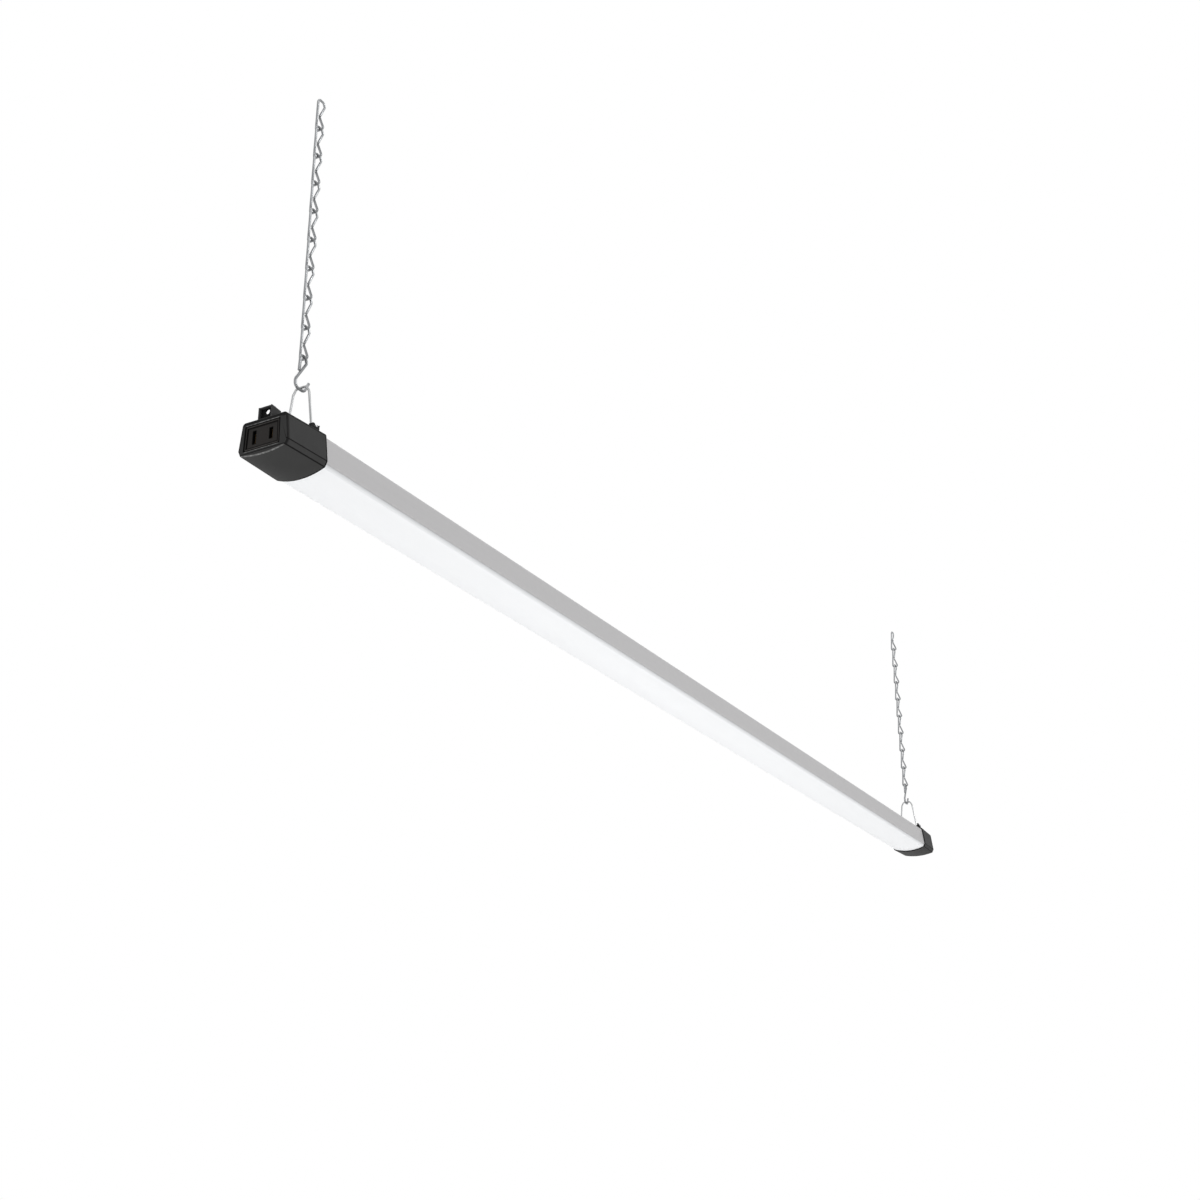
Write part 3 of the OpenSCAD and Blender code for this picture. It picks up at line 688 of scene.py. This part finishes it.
def clip(side):
    """Snap seat of one foot of the bail, with its mouth open upwards."""
    foot, mouth, r = FOOT_H + CLIP_FOOT, BAIL_D * 0.46 + 0.1, BAIL_D / 2 + FIT
    seat = [(math.sin(a) * r, -math.cos(a) * r)
            for a in [math.radians(d) for d in range(-120, 121, 20)]]
    outline = [(-4.6, -foot), (-4.2, 0.5), (-3.0, 1.3), (-1.6, 1.5), (-mouth, 0.9)] + seat
    outline += [(mouth, 0.9), (1.7, 1.3), (2.6, 1.1), (3.6, 2.0), (3.2, 0.2), (3.4, -foot)]
    y0 = side * (CLIP_Y + CLIP_W / 2) - CLIP_W / 2

    def place(a, b, h):
        return BAIL_INSET + a, y0 + h, FOOT_H + b

    return bevelled(outline, [], CLIP_W, place, 0.14).dulled(0.6)


def cap(hole_rings):
    """One end cap. hole_rings run through its face, from outside to inside: x, outline, marks."""
    shell = Shell()
    face, mouth = cap_outer(shell)
    inner = cap_inner(shell, mouth)
    hole = [shell.across(x, outline, *marks) for x, outline, *marks in hole_rings]
    shell.loft(hole)
    shell.fill(face, hole[0])
    shell.fill(inner, hole[-1])
    shell.add(ear())
    for side in (-1, 1):
        shell.add(clip(side))
    return shell


# x, how far the window is taken in, painted highlight on its level runs, painted shade as a line on
# its level and other runs
WINDOW_PROFILE = ((0.0, -0.8, 0, 0, 0), (0.0, -0.65, 0.8, 0, 0), (0.0, -0.5, 0.8, 0, 0.8),
                  (0.1, -0.3, 0.8, 0, 1), (0.2, -0.15, 0, 0.9, 1), (0.35, 0, 0, 1, 1),
                  (CAP_WALL, 0, 0, 1, 1))
window_rings = [(x, window(i), window_values(i, wear_and_highlight), window_values(i, level, upright))
                for x, i, wear_and_highlight, level, upright in WINDOW_PROFILE]
# x, radius and wear of the cord inlet's seat, that wear also a painted highlight
FLANGE_R, NECK_R = INLET_R + 2.6, INLET_R + 1.3
FLANGE_SEAT, NECK_SEAT = FLANGE_R + FIT, NECK_R + FIT
INLET_PROFILE = ((0.0, FLANGE_SEAT + 0.6, 0), (0.0, FLANGE_SEAT + 0.25, 0.5),
                 (0.25, FLANGE_SEAT, 0.5), (0.9, FLANGE_SEAT, 0),
                 (0.9, NECK_SEAT, 0), (CAP_WALL, NECK_SEAT, 0))
inlet_rings = [(x, circle(r, ROUND, WINDOW_MID), wear_and_highlight) for x, r, wear_and_highlight in INLET_PROFILE]
piece("near_end_cap_shell", cap(window_rings), CAP_PLASTIC, "fixture",
      ["near_end_cap"], near)
piece("far_end_cap_shell", cap(inlet_rings), CAP_PLASTIC, "fixture",
      ["far_end_cap"], far)


# ---- Outlet and cord bushing ---------------------------------------------------------------------

OUTLET_GAP = 0.15  # between the frame and the window
LIP_X = 0.3
FACE_X = 0.7
ROOM_X = 2.3
OUTLET_BACK_X = 15.0
CONTACT_ROOM = (6.4, 11)
OUTLET_BOX = (2 * WINDOW_HALF - 3.2, WINDOW_H - 2.6)
# x, how far the window is taken in, painted highlight on the level runs, a line of painted shade on
# the upright runs
FRAME_PROFILE = (
    (CAP_WALL, OUTLET_GAP, 0, 1), (LIP_X + 0.25, OUTLET_GAP, 0, 1), (LIP_X + 0.06, 0.2, 0, 1),
    (LIP_X, 0.4, 0, 1), (LIP_X, 0.6, 0.25, 0), (LIP_X, 1.05, 0.25, 0), (LIP_X, 1.2, 0, 1),
    (LIP_X + 0.1, 1.4, 0, 1), (LIP_X + 0.35, 1.5, 0, 1), (FACE_X, 1.6, 0, 1),
    (FACE_X, 2.05, 0, 1), (FACE_X, 2.25, 0, 0), (FACE_X, 2.6, 0, 0))
# x, how much larger than the slot, corner radius, line of painted shade
SLOT_PROFILE = ((FACE_X, 1.0, 0.5, 0.0), (FACE_X, 0.6, 0.3, 0.8), (FACE_X + 0.22, 0.0, 0.2, 1.0),
                (ROOM_X, 0.0, 0.2, 1.0))


def outlet_slot(shell, side):
    """A slot and the contact's room behind it; returns their first and last ring."""
    h, y = (NEUTRAL_SLOT_H if side > 0 else LIVE_SLOT_H), OUTLET_Y + side * SLOT_SPACING / 2
    rings = []
    for x, grow, r, dark in SLOT_PROFILE:
        outline = rectangle(y, WINDOW_MID, SLOT_W + grow, h + grow, r)
        rings.append(shell.across(x, outline, 0.0, [dark] * len(outline)))
    shell.loft(rings)
    room = [shell.across(x, rectangle(y, WINDOW_MID, *CONTACT_ROOM))
            for x in (ROOM_X, OUTLET_BACK_X)]
    shell.fill(room[0], rings[-1])
    shell.loft(room)
    return rings[0], room[-1]


def outlet():
    """Outlet: a framed recess, a face with two slots, and a box behind with two rooms."""
    shell = Shell()
    front = shell.loft([
        shell.across(x, window(i), window_values(i, wear_and_highlight), window_values(i, dark * 0.8, dark))
        for x, i, wear_and_highlight, dark in FRAME_PROFILE])
    slots, rooms = zip(*[outlet_slot(shell, side) for side in (-1, 1)])
    shell.fill(front, *slots)
    box = rectangle(OUTLET_Y, WINDOW_MID, *OUTLET_BOX)
    step = shell.across(CAP_WALL, box)
    shell.fill(shell.across(CAP_WALL, window(OUTLET_GAP)), step)
    back = shell.across(OUTLET_BACK_X, box)
    shell.bridge(step, back)
    shell.fill(back, *rooms)
    return shell


def lathe(profile):
    """A closed ring turned about the cord inlet's axis; profile is a closed loop of (x, r)."""
    shell = Shell()
    rings = [shell.across(x, circle(r, ROUND, WINDOW_MID)) for x, r in profile]
    shell.loft(rings + [rings[0]])
    return shell


BUSH_L = CAP_WALL + 2.4
BUSH_CATCH_X = CAP_WALL + FIT  # where its catch meets the cap's inside
BUSH_PROFILE = (
    (0.35, FLANGE_R - 0.05), (0.08, FLANGE_R - 0.25), (0.0, FLANGE_R - 0.6), (0.0, FLANGE_R - 1.3),
    (0.22, FLANGE_R - 1.45), (0.22, FLANGE_R - 1.6), (0.0, FLANGE_R - 1.75), (0.05, INLET_R + 0.35),
    (0.3, INLET_R + 0.05), (0.6, INLET_R), (BUSH_L - 0.3, INLET_R), (BUSH_L, INLET_R + 0.3),
    (BUSH_L, NECK_R), (BUSH_L - 0.6, FLANGE_R - 0.5), (BUSH_CATCH_X, FLANGE_R - 0.4),
    (BUSH_CATCH_X, NECK_R), (0.8, NECK_R), (0.8, FLANGE_R))
piece("outlet_face", outlet(), OUTLET_PLASTIC, "fixture", ["outlet_insert"], near)
piece("cord_bushing_ring", lathe(BUSH_PROFILE), RUBBER, "fixture",
      ["cord_bushing"], far)


# ---- Housing and lens ----------------------------------------------------------------------------

RUN_RINGS = 25
CLEAR = 0.02  # a point this close to where an outline is cut is left out


def run_of(*loops):
    """An extrusion as long as the housing, through loops of (outline, wear, line).

    The first loop goes round the outside, the others round holes."""
    shell, ends = Shell(), []
    for outline, wear, line in loops:
        rows = []
        for k in range(RUN_RINGS):
            x = HOUSING_X0 + (HOUSING_X1 - HOUSING_X0) * k / (RUN_RINGS - 1)
            rows.append(shell.across(x, outline, wear, line))
        shell.loft(rows)
        ends.append((rows[0], rows[-1]))
    shell.fill(*[first for first, last in ends])
    shell.fill(*[last for first, last in ends])
    return shell


def unmarked(outline):
    """No wear or line on any point of an outline."""
    return [0.0] * len(outline)


def inner_half(z):
    """Half width between the housing's walls at z."""
    return side_half(z) - HOUSING_INSET - HOUSING_WALL


def half_at(outline, level):
    """Half width of an outline at a level."""
    best = 0
    for a, b in zip(outline, outline[1:] + outline[:1]):
        if (a[1] - level) * (b[1] - level) <= 0 and a[1] != b[1]:
            best = max(best, abs(a[0] + (b[0] - a[0]) * (level - a[1]) / (b[1] - a[1])))
    return best


def with_guards(outline, values, gap=0.6):
    """Adds points of value 0 near both ends of each long run, so that wear stays at its corner."""
    out, marks = [], []
    for k, p in enumerate(outline):
        q = outline[(k + 1) % len(outline)]
        out.append(p)
        marks.append(values[k])
        run = Vector(q) - Vector(p)
        if run.length > 4 * gap:
            step = run.normalized() * gap
            out += [(p[0] + step.x, p[1] + step.y), (q[0] - step.x, q[1] - step.y)]
            marks += [0.0, 0.0]
    return out, marks


def housing_wear(y, z):
    """Wear of the two upper corners and of the lips."""
    upper = abs(z + HOUSING_INSET) < CORNER_TOP_R and abs(y) > RIM_HALF_TOP - 3.4
    return 0.7 if upper or z < -SIDE_H + 0.5 else 0.0


outer = section(HOUSING_INSET)
roof_z = -HOUSING_INSET - HOUSING_WALL
web_top = roof_z - CHAMBER_H
web_low = web_top - WEB_T
rib_z = LIP_Z + RIB
rib_half = inner_half(-SIDE_H) - RIB_IN
lip_half = half_at(outer, LIP_Z)

above = [p for p in outer if p[1] > LIP_Z + CLEAR]
right = sorted([p for p in above if p[0] > 0], key=lambda p: p[1])
left = sorted([p for p in above if p[0] < 0], key=lambda p: -p[1])
foot_half, web_half = inner_half(-SIDE_H), inner_half(web_low)
bottom = [(-lip_half, LIP_Z), (-rib_half, LIP_Z), (-rib_half, rib_z), (-foot_half, rib_z),
          (-web_half, web_low), (web_half, web_low),
          (foot_half, rib_z), (rib_half, rib_z), (rib_half, LIP_Z), (lip_half, LIP_Z)]
shape = right + left + bottom
shape, wear_and_highlight = with_guards(shape, [housing_wear(y, z) for y, z in shape])
roof_half, floor_half = inner_half(roof_z), inner_half(web_top)
chamber = rounded([(-roof_half, roof_z), (roof_half, roof_z),
                   (floor_half, web_top), (-floor_half, web_top)], [1.2, 1.2, 0.4, 0.4], 4)
housing = run_of((shape, wear_and_highlight, unmarked(shape)), (chamber, unmarked(chamber), unmarked(chamber)))
piece("housing_body", housing, HOUSING_PAINT, "fixture", ["housing"], near)

seam = LIP_Z - LENS_GAP
seam_inner = seam - DIFFUSER_WALL
neck = rib_half - LENS_GAP
neck_inner = neck - DIFFUSER_WALL
barb_z = rib_z + LENS_GAP
barb_top = barb_z + BARB_H
shoulder = half_at(outer, seam)
under = [p for p in outer if p[1] < seam - CLEAR]
inside = [p for p in section(HOUSING_INSET + DIFFUSER_WALL)
          if p[1] < seam_inner - CLEAR and abs(p[0]) < neck_inner - 0.05]
lens = [(shoulder, seam)] + under + [(-shoulder, seam)]
lens += [(-neck, seam), (-neck, barb_z), (-neck - BARB_OUT, barb_z), (-neck - 0.1, barb_top),
         (-neck_inner, barb_top), (-neck_inner, seam_inner)]
lens += reversed(inside)
lens += [(neck_inner, seam_inner), (neck_inner, barb_top), (neck + 0.1, barb_top),
         (neck + BARB_OUT, barb_z), (neck, barb_z), (neck, seam)]
# the lens gets darker beside its neck, from 3.2 mm below the lips up to the seam
unlit = [max(0.0, min(1.0, (z - LIP_Z + 3.2) / 3.0)) if abs(y) > neck else 0.0 for y, z in lens]
diffuser = run_of((lens, unmarked(lens), unlit))
piece("diffuser_lens", diffuser, LENS, "fixture", ["diffuser"], near, 40)


# ---- Chains, hooks and bails ---------------------------------------------------------------------

BEND_STEP = 7  # degrees of a bend from one ring to the next
WIRE_CRISP = 60
BROKEN_L, BROKEN_SHARE = 0.12, 0.86  # a cut end's length, and its share of the wire's radius
RUB_WEAR = 0.35


def route(points, radii):
    """A line through points with a bend of its own radius at each inner one."""
    pts = [Vector(p) for p in points]
    out = [pts[0]]
    for i in range(1, len(pts) - 1):
        u, v = (pts[i] - pts[i - 1]).normalized(), (pts[i + 1] - pts[i]).normalized()
        turn, r, axis = u.angle(v), radii[i - 1], u.cross(v).normalized()
        start = pts[i] - u * r * math.tan(turn / 2)
        centre = start + axis.cross(u) * r
        arm = start - centre
        n = max(2, math.ceil(math.degrees(turn) / BEND_STEP))
        out += [centre + Matrix.Rotation(turn * k / n, 3, axis) @ arm for k in range(n + 1)]
    return out + [pts[-1]]


def wire(points, radii, d, side, sides=20, wear=()):
    """A round wire along a route, its cut ends a little broken.

    side is a way across the wire's start. wear lists places that rub, each with its reach."""
    line = route(points, radii)
    line = [p for k, p in enumerate(line) if k == 0 or (p - line[k - 1]).length > 1e-4]
    line.insert(1, line[0] + (line[1] - line[0]).normalized() * BROKEN_L)
    line.insert(-1, line[-1] + (line[-2] - line[-1]).normalized() * BROKEN_L)
    shell, rings, normal, run = Shell(), [], Vector(side), 0.0
    turns = [2 * math.pi * j / sides for j in range(sides)]
    last = len(line) - 1
    for k, c in enumerate(line):
        back = (c - line[k - 1]).normalized() if k else (line[1] - c).normalized()
        ahead = (line[k + 1] - c).normalized() if k < last else back
        t = (back + ahead).normalized()
        normal = (normal - t * normal.dot(t)).normalized()
        cross = t.cross(normal)
        run += (c - line[k - 1]).length if k else 0
        r = d / 2 * (BROKEN_SHARE if k in (0, last) else 1)
        pts = [c + (normal * math.cos(a) + cross * math.sin(a)) * r for a in turns]
        rub = max([0.0] + [1 - (c - Vector(place)).length / reach for place, reach in wear])
        along = [(math.cos(a), math.sin(a), run) for a in turns]
        rings.append(shell.ring(pts, rub * RUB_WEAR, along=along))
    shell.loft(rings)
    shell.fill(rings[0])
    shell.fill(rings[-1])
    return shell


def link(i):
    """Twisted wire link: its top loop stands in the XZ plane, its bottom loop in the YZ plane.

    Its wire is a little thin, so that it stays inside the CAD's wire, which has flat sides."""
    a, top = LINK_HALF_W, LINK_D / 2
    low = -LINK_PITCH - BEARING_GAP - LINK_D / 2
    waist = (top + low) / 2 - 1.2  # where the wire's two ends lie side by side
    t = (top - waist) / (top - low)
    meet = Vector((-a * (1 - t), a * t, waist)) + Vector((1, -1, 0)) * (LINK_D + 0.1) / math.sqrt(2)
    up = Vector((0, 0, LINK_D * 0.3))
    pts = [meet + up, (a + 0.9, 0, top - 3.0), (a - 0.2, 0, top), (-a, 0, top), (0, a, low),
           (0, -a - 0.5, low), meet - up]
    shell = wire(pts, [1.0, a * 0.6, a * 0.7, a * 0.7, 1.3], LINK_D - 0.02, (0, 0, 1),
                 wear=(((0, 0, top), 2.4), ((0, 0, low), 2.4)))
    return shell.raised(-(i - 1) * LINK_PITCH)


def hook():
    """S-hook in the XZ plane, at its height in the chain."""
    top, low = HOOK_D / 2, -HOOK_PITCH - BEARING_GAP - HOOK_D / 2
    pts = [(-3.4, 0, -10.4), (-2.8, 0, top), (5.6, 0, top), (-6.4, 0, low + 5.4), (-6, 0, low),
           (2.4, 0, low), (6.3, 0, low + 7.8)]
    shell = wire(pts, [2.4, 3.2, 5, 3.2, 3.8], HOOK_D, (0, 1, 0), sides=24,
                 wear=(((0, 0, top), 2.6), ((0, 0, low), 2.6)))
    return shell.raised(-LINK_COUNT * LINK_PITCH)


def bail():
    """Bail with its two feet turned outwards, in the frame of its end cap."""
    top, shoulder, out = BAIL_H + BAIL_D / 2, BAIL_H - 3, CLIP_Y + CLIP_W + 0.6
    half = [(-out, FOOT_H), (-BAIL_HALF_LOW, FOOT_H), (-BAIL_HALF_TOP, shoulder),
            (-BAIL_HALF_TOP + 2.4, top)]
    pts = [(BAIL_INSET, y, z) for y, z in half] + [(BAIL_INSET, -y, z) for y, z in reversed(half)]
    return wire(pts, [1.2, 2.4, 2.4, 2.4, 2.4, 1.2], BAIL_D, (1, 0, 0),
                wear=(((BAIL_INSET, 0, top), 3),))


def shifted(x):
    """Moves a point along the light by x."""
    return lambda p: (p[0] + x, p[1], p[2])


CHAIN_BODY = {1: "ceiling_links", 2: "second_links"}
for end, x, from_cap in (("near", 0.0, near), ("far", BAIL_SPAN, far)):
    for i in range(1, LINK_COUNT + 1):
        piece(f"{end}_chain_link_{i}", link(i), CHAIN_WIRE, CHAIN_BODY.get(i, f"{end}_chain"),
              [f"{end}_link_{i}"], shifted(x), WIRE_CRISP)
    piece(f"{end}_s_hook", hook(), HOOK_WIRE, f"{end}_hook", [f"{end}_hook"],
          shifted(x), WIRE_CRISP)
    piece(f"{end}_bail_wire", bail(), BAIL_WIRE, "fixture", [f"{end}_bail"],
          from_cap, WIRE_CRISP)


# ---- Looks of the CAD's own nodes ----------------------------------------------------------------

SCREW = plain("screw_zinc", "#b4b6b8", 0.28, 1.0, 500)
CAD_LOOKS = {  # a node that isn't named here is of chain wire
    "near_end_cap": CAP_PLASTIC,
    "far_end_cap": CAP_PLASTIC,
    "outlet_insert": OUTLET_PLASTIC,
    "cord_bushing": RUBBER,
    "housing": HOUSING_PAINT,
    "diffuser": LENS,
    "near_cap_screws": SCREW,
    "far_cap_screws": SCREW,
    "board_screws": SCREW,
    "terminal_screws": SCREW,
    "outlet_contact_live": plain("contact_brass", "#5e4a2c", 0.5, 0.6, 500),
    "light_board": plain("board_white", "#f1f1ec", 0.35, 0.0, 120, 0.03),
    "light_chips": plain("chip_phosphor", "#efd271", 0.5, 0.0, 900, 0.08),
    "wire_grommet": RUBBER,
    "driver_tray": plain("tray_sheet", "#e4e0d4", 0.5, 0.0, 80, 0.04),
    "driver_board": plain("board_green", "#2f6b45", 0.35, 0.0, 220, 0.18),
    "driver_fuse": plain("fuse_sleeve", "#d5d0c2", 0.3, 0.0, 400),
    "driver_varistor": plain("varistor_blue", "#2b57a8", 0.3, 0.0, 500),
    "driver_choke": plain("choke_winding", "#a8642c", 0.3, 0.3, 900, 0.25),
    "driver_filter_capacitor": plain("filter_box", "#d3b13a", 0.35, 0.0, 300),
    "driver_bulk_capacitor": plain("capacitor_sleeve", "#22304f", 0.25, 0.0, 200),
    "driver_transformer_core": plain("ferrite", "#3a393c", 0.55, 0.2, 800),
    "driver_transformer_coil": plain("coil_tape", "#d9a33a", 0.3, 0.0, 250),
    "terminal_block": plain("terminal_white", "#eceae2", 0.45, 0.0, 250, 0.05),
    "feed_wire_live": plain("wire_black", "#1e1e20", 0.4, 0.0, 200),
    "feed_wire_neutral": plain("wire_white", "#e6e6e1", 0.4, 0.0, 200, 0.05),
    "board_wire_positive": plain("wire_red", "#b0352c", 0.4, 0.0, 200),
}
SAME_LOOK = {
    "outlet_contact_neutral": "outlet_contact_live",
    "driver_output_capacitor": "driver_bulk_capacitor",
    "driver_wire_live": "feed_wire_live",
    "driver_wire_neutral": "feed_wire_neutral",
    "board_wire_negative": "feed_wire_live",
}
for node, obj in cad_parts.items():
    look = CAD_LOOKS.get(SAME_LOOK.get(node, node), CHAIN_WIRE)
    if obj.material_slots:
        for slot in obj.material_slots:
            slot.material = look
    else:
        obj.data.materials.append(look)


# ---- Camera, light and floor, in metres ----------------------------------------------------------

CAMERA_PLACE = (-0.6743, -0.5762, -0.7165)
CAMERA_AHEAD = (0.81374, 0.44269, 0.37664)
CAMERA_ASIDE = (0.48141, -0.87644, -0.00998)
MIDDLE_X = 0.57
LAMP_TARGET = (MIDDLE_X, 0, -0.2)
WORLD_STRENGTH = 0.62
FLOOR_Z = -2.0
FLOOR_R = 30
FADE_FROM, FADE_TO = 1.2, 4.5  # the floor turns plain white between these distances

camera_data = bpy.data.cameras.new("camera")
camera_data.lens = 47.875
camera_data.sensor_width = 36
camera_data.sensor_fit = "HORIZONTAL"
camera_data.clip_start = 0.01
camera = bpy.data.objects.new("camera", camera_data)
ahead = Vector(CAMERA_AHEAD).normalized()
aside = Vector(CAMERA_ASIDE)
aside = (aside - ahead * aside.dot(ahead)).normalized()
turned = Matrix((aside, aside.cross(ahead), -ahead)).transposed().to_4x4()
camera.matrix_world = Matrix.Translation(CAMERA_PLACE) @ turned
bpy.context.scene.collection.objects.link(camera)
bpy.context.scene.camera = camera


def lamp(name, place, target, size, power):
    """A round area lamp, itself unseen."""
    data = bpy.data.lights.new(name, "AREA")
    data.shape, data.size, data.energy = "DISK", size, power
    obj = bpy.data.objects.new(name, data)
    obj.location = place
    obj.rotation_euler = (Vector(target) - Vector(place)).to_track_quat("-Z", "Y").to_euler()
    obj.visible_camera = False
    bpy.context.scene.collection.objects.link(obj)


lamp("key_lamp", (0.4, -2.8, 0.9), LAMP_TARGET, 1.4, 33)
lamp("top_lamp", (0.4, 1.4, 3.0), LAMP_TARGET, 2.4, 22)
lamp("low_lamp", (0.6, -0.15, -1.1), LAMP_TARGET, 1.6, 3.4)
lamp("rim_lamp", (-0.6, 0.75, -1.05), (0, 0, -0.26), 0.5, 1.6)
lamp("far_lamp", (1.7, 0.5, -1.1), (1.19, 0, -0.26), 0.4, 0.6)
lamp("front_lamp", (-2.4, -1.8, -0.9), LAMP_TARGET, 0.7, 6.5)


def looked_at(tree):
    """1 for a ray from the camera, off gloss or through glass, 0 for any other."""
    path = tree.nodes.new("ShaderNodeLightPath")
    seen = path.outputs["Is Camera Ray"]
    for name in ("Is Glossy Ray", "Is Transmission Ray"):
        either = tree.nodes.new("ShaderNodeMath")
        either.operation = "MAXIMUM"
        tree.links.new(seen, either.inputs[0])
        tree.links.new(path.outputs[name], either.inputs[1])
        seen = either.outputs[0]
    return seen


# The world is seen plain white, but casts a softer light.
world = bpy.data.worlds.new("studio")
world.use_nodes = True
bpy.context.scene.world = world
tree = world.node_tree
soft = tree.nodes["Background"]
soft.inputs["Color"].default_value = (1, 1, 1, 1)
soft.inputs["Strength"].default_value = WORLD_STRENGTH
white = tree.nodes.new("ShaderNodeBackground")
white.inputs["Color"].default_value = (1, 1, 1, 1)
white.inputs["Strength"].default_value = 1.0
blend = tree.nodes.new("ShaderNodeMixShader")
tree.links.new(looked_at(tree), blend.inputs["Fac"])
tree.links.new(soft.outputs[0], blend.inputs[1])
tree.links.new(white.outputs[0], blend.inputs[2])
tree.links.new(blend.outputs[0], tree.nodes["World Output"].inputs["Surface"])

# White paper, which fades into the world so that its rim isn't seen.
floor_mesh = bpy.data.meshes.new("floor")
bm = bmesh.new()
bmesh.ops.create_circle(bm, cap_ends=True, radius=FLOOR_R, segments=96)
bm.to_mesh(floor_mesh)
bm.free()
floor = bpy.data.objects.new("floor", floor_mesh)
floor.location = (MIDDLE_X, 0, FLOOR_Z)
bpy.context.scene.collection.objects.link(floor)
paper = Nodes("floor_paper")
paper.colour(paper.mix(paper.noise(3, 3), linear("#f3f3f2"), linear("#f7f7f6")))
paper.set(Roughness=0.9, Specular_IOR_Level=0.1)
distance = paper.new("ShaderNodeVectorMath", operation="LENGTH")
paper.link(paper.place(), distance.inputs[0])
faded = paper.ramp(distance.outputs["Value"], ((FADE_FROM, 0.0), (FADE_TO, 1.0)))
glow = paper.new("ShaderNodeEmission")
both = paper.new("ShaderNodeMixShader")
paper.link(paper.math("MULTIPLY", looked_at(paper.tree), faded), both.inputs["Fac"])
paper.link(paper.shader.outputs[0], both.inputs[1])
paper.link(glow.outputs[0], both.inputs[2])
paper.link(both.outputs[0], paper.tree.nodes["Material Output"].inputs["Surface"])
floor.data.materials.append(paper.material)

bpy.context.scene.view_settings.view_transform = "Standard"
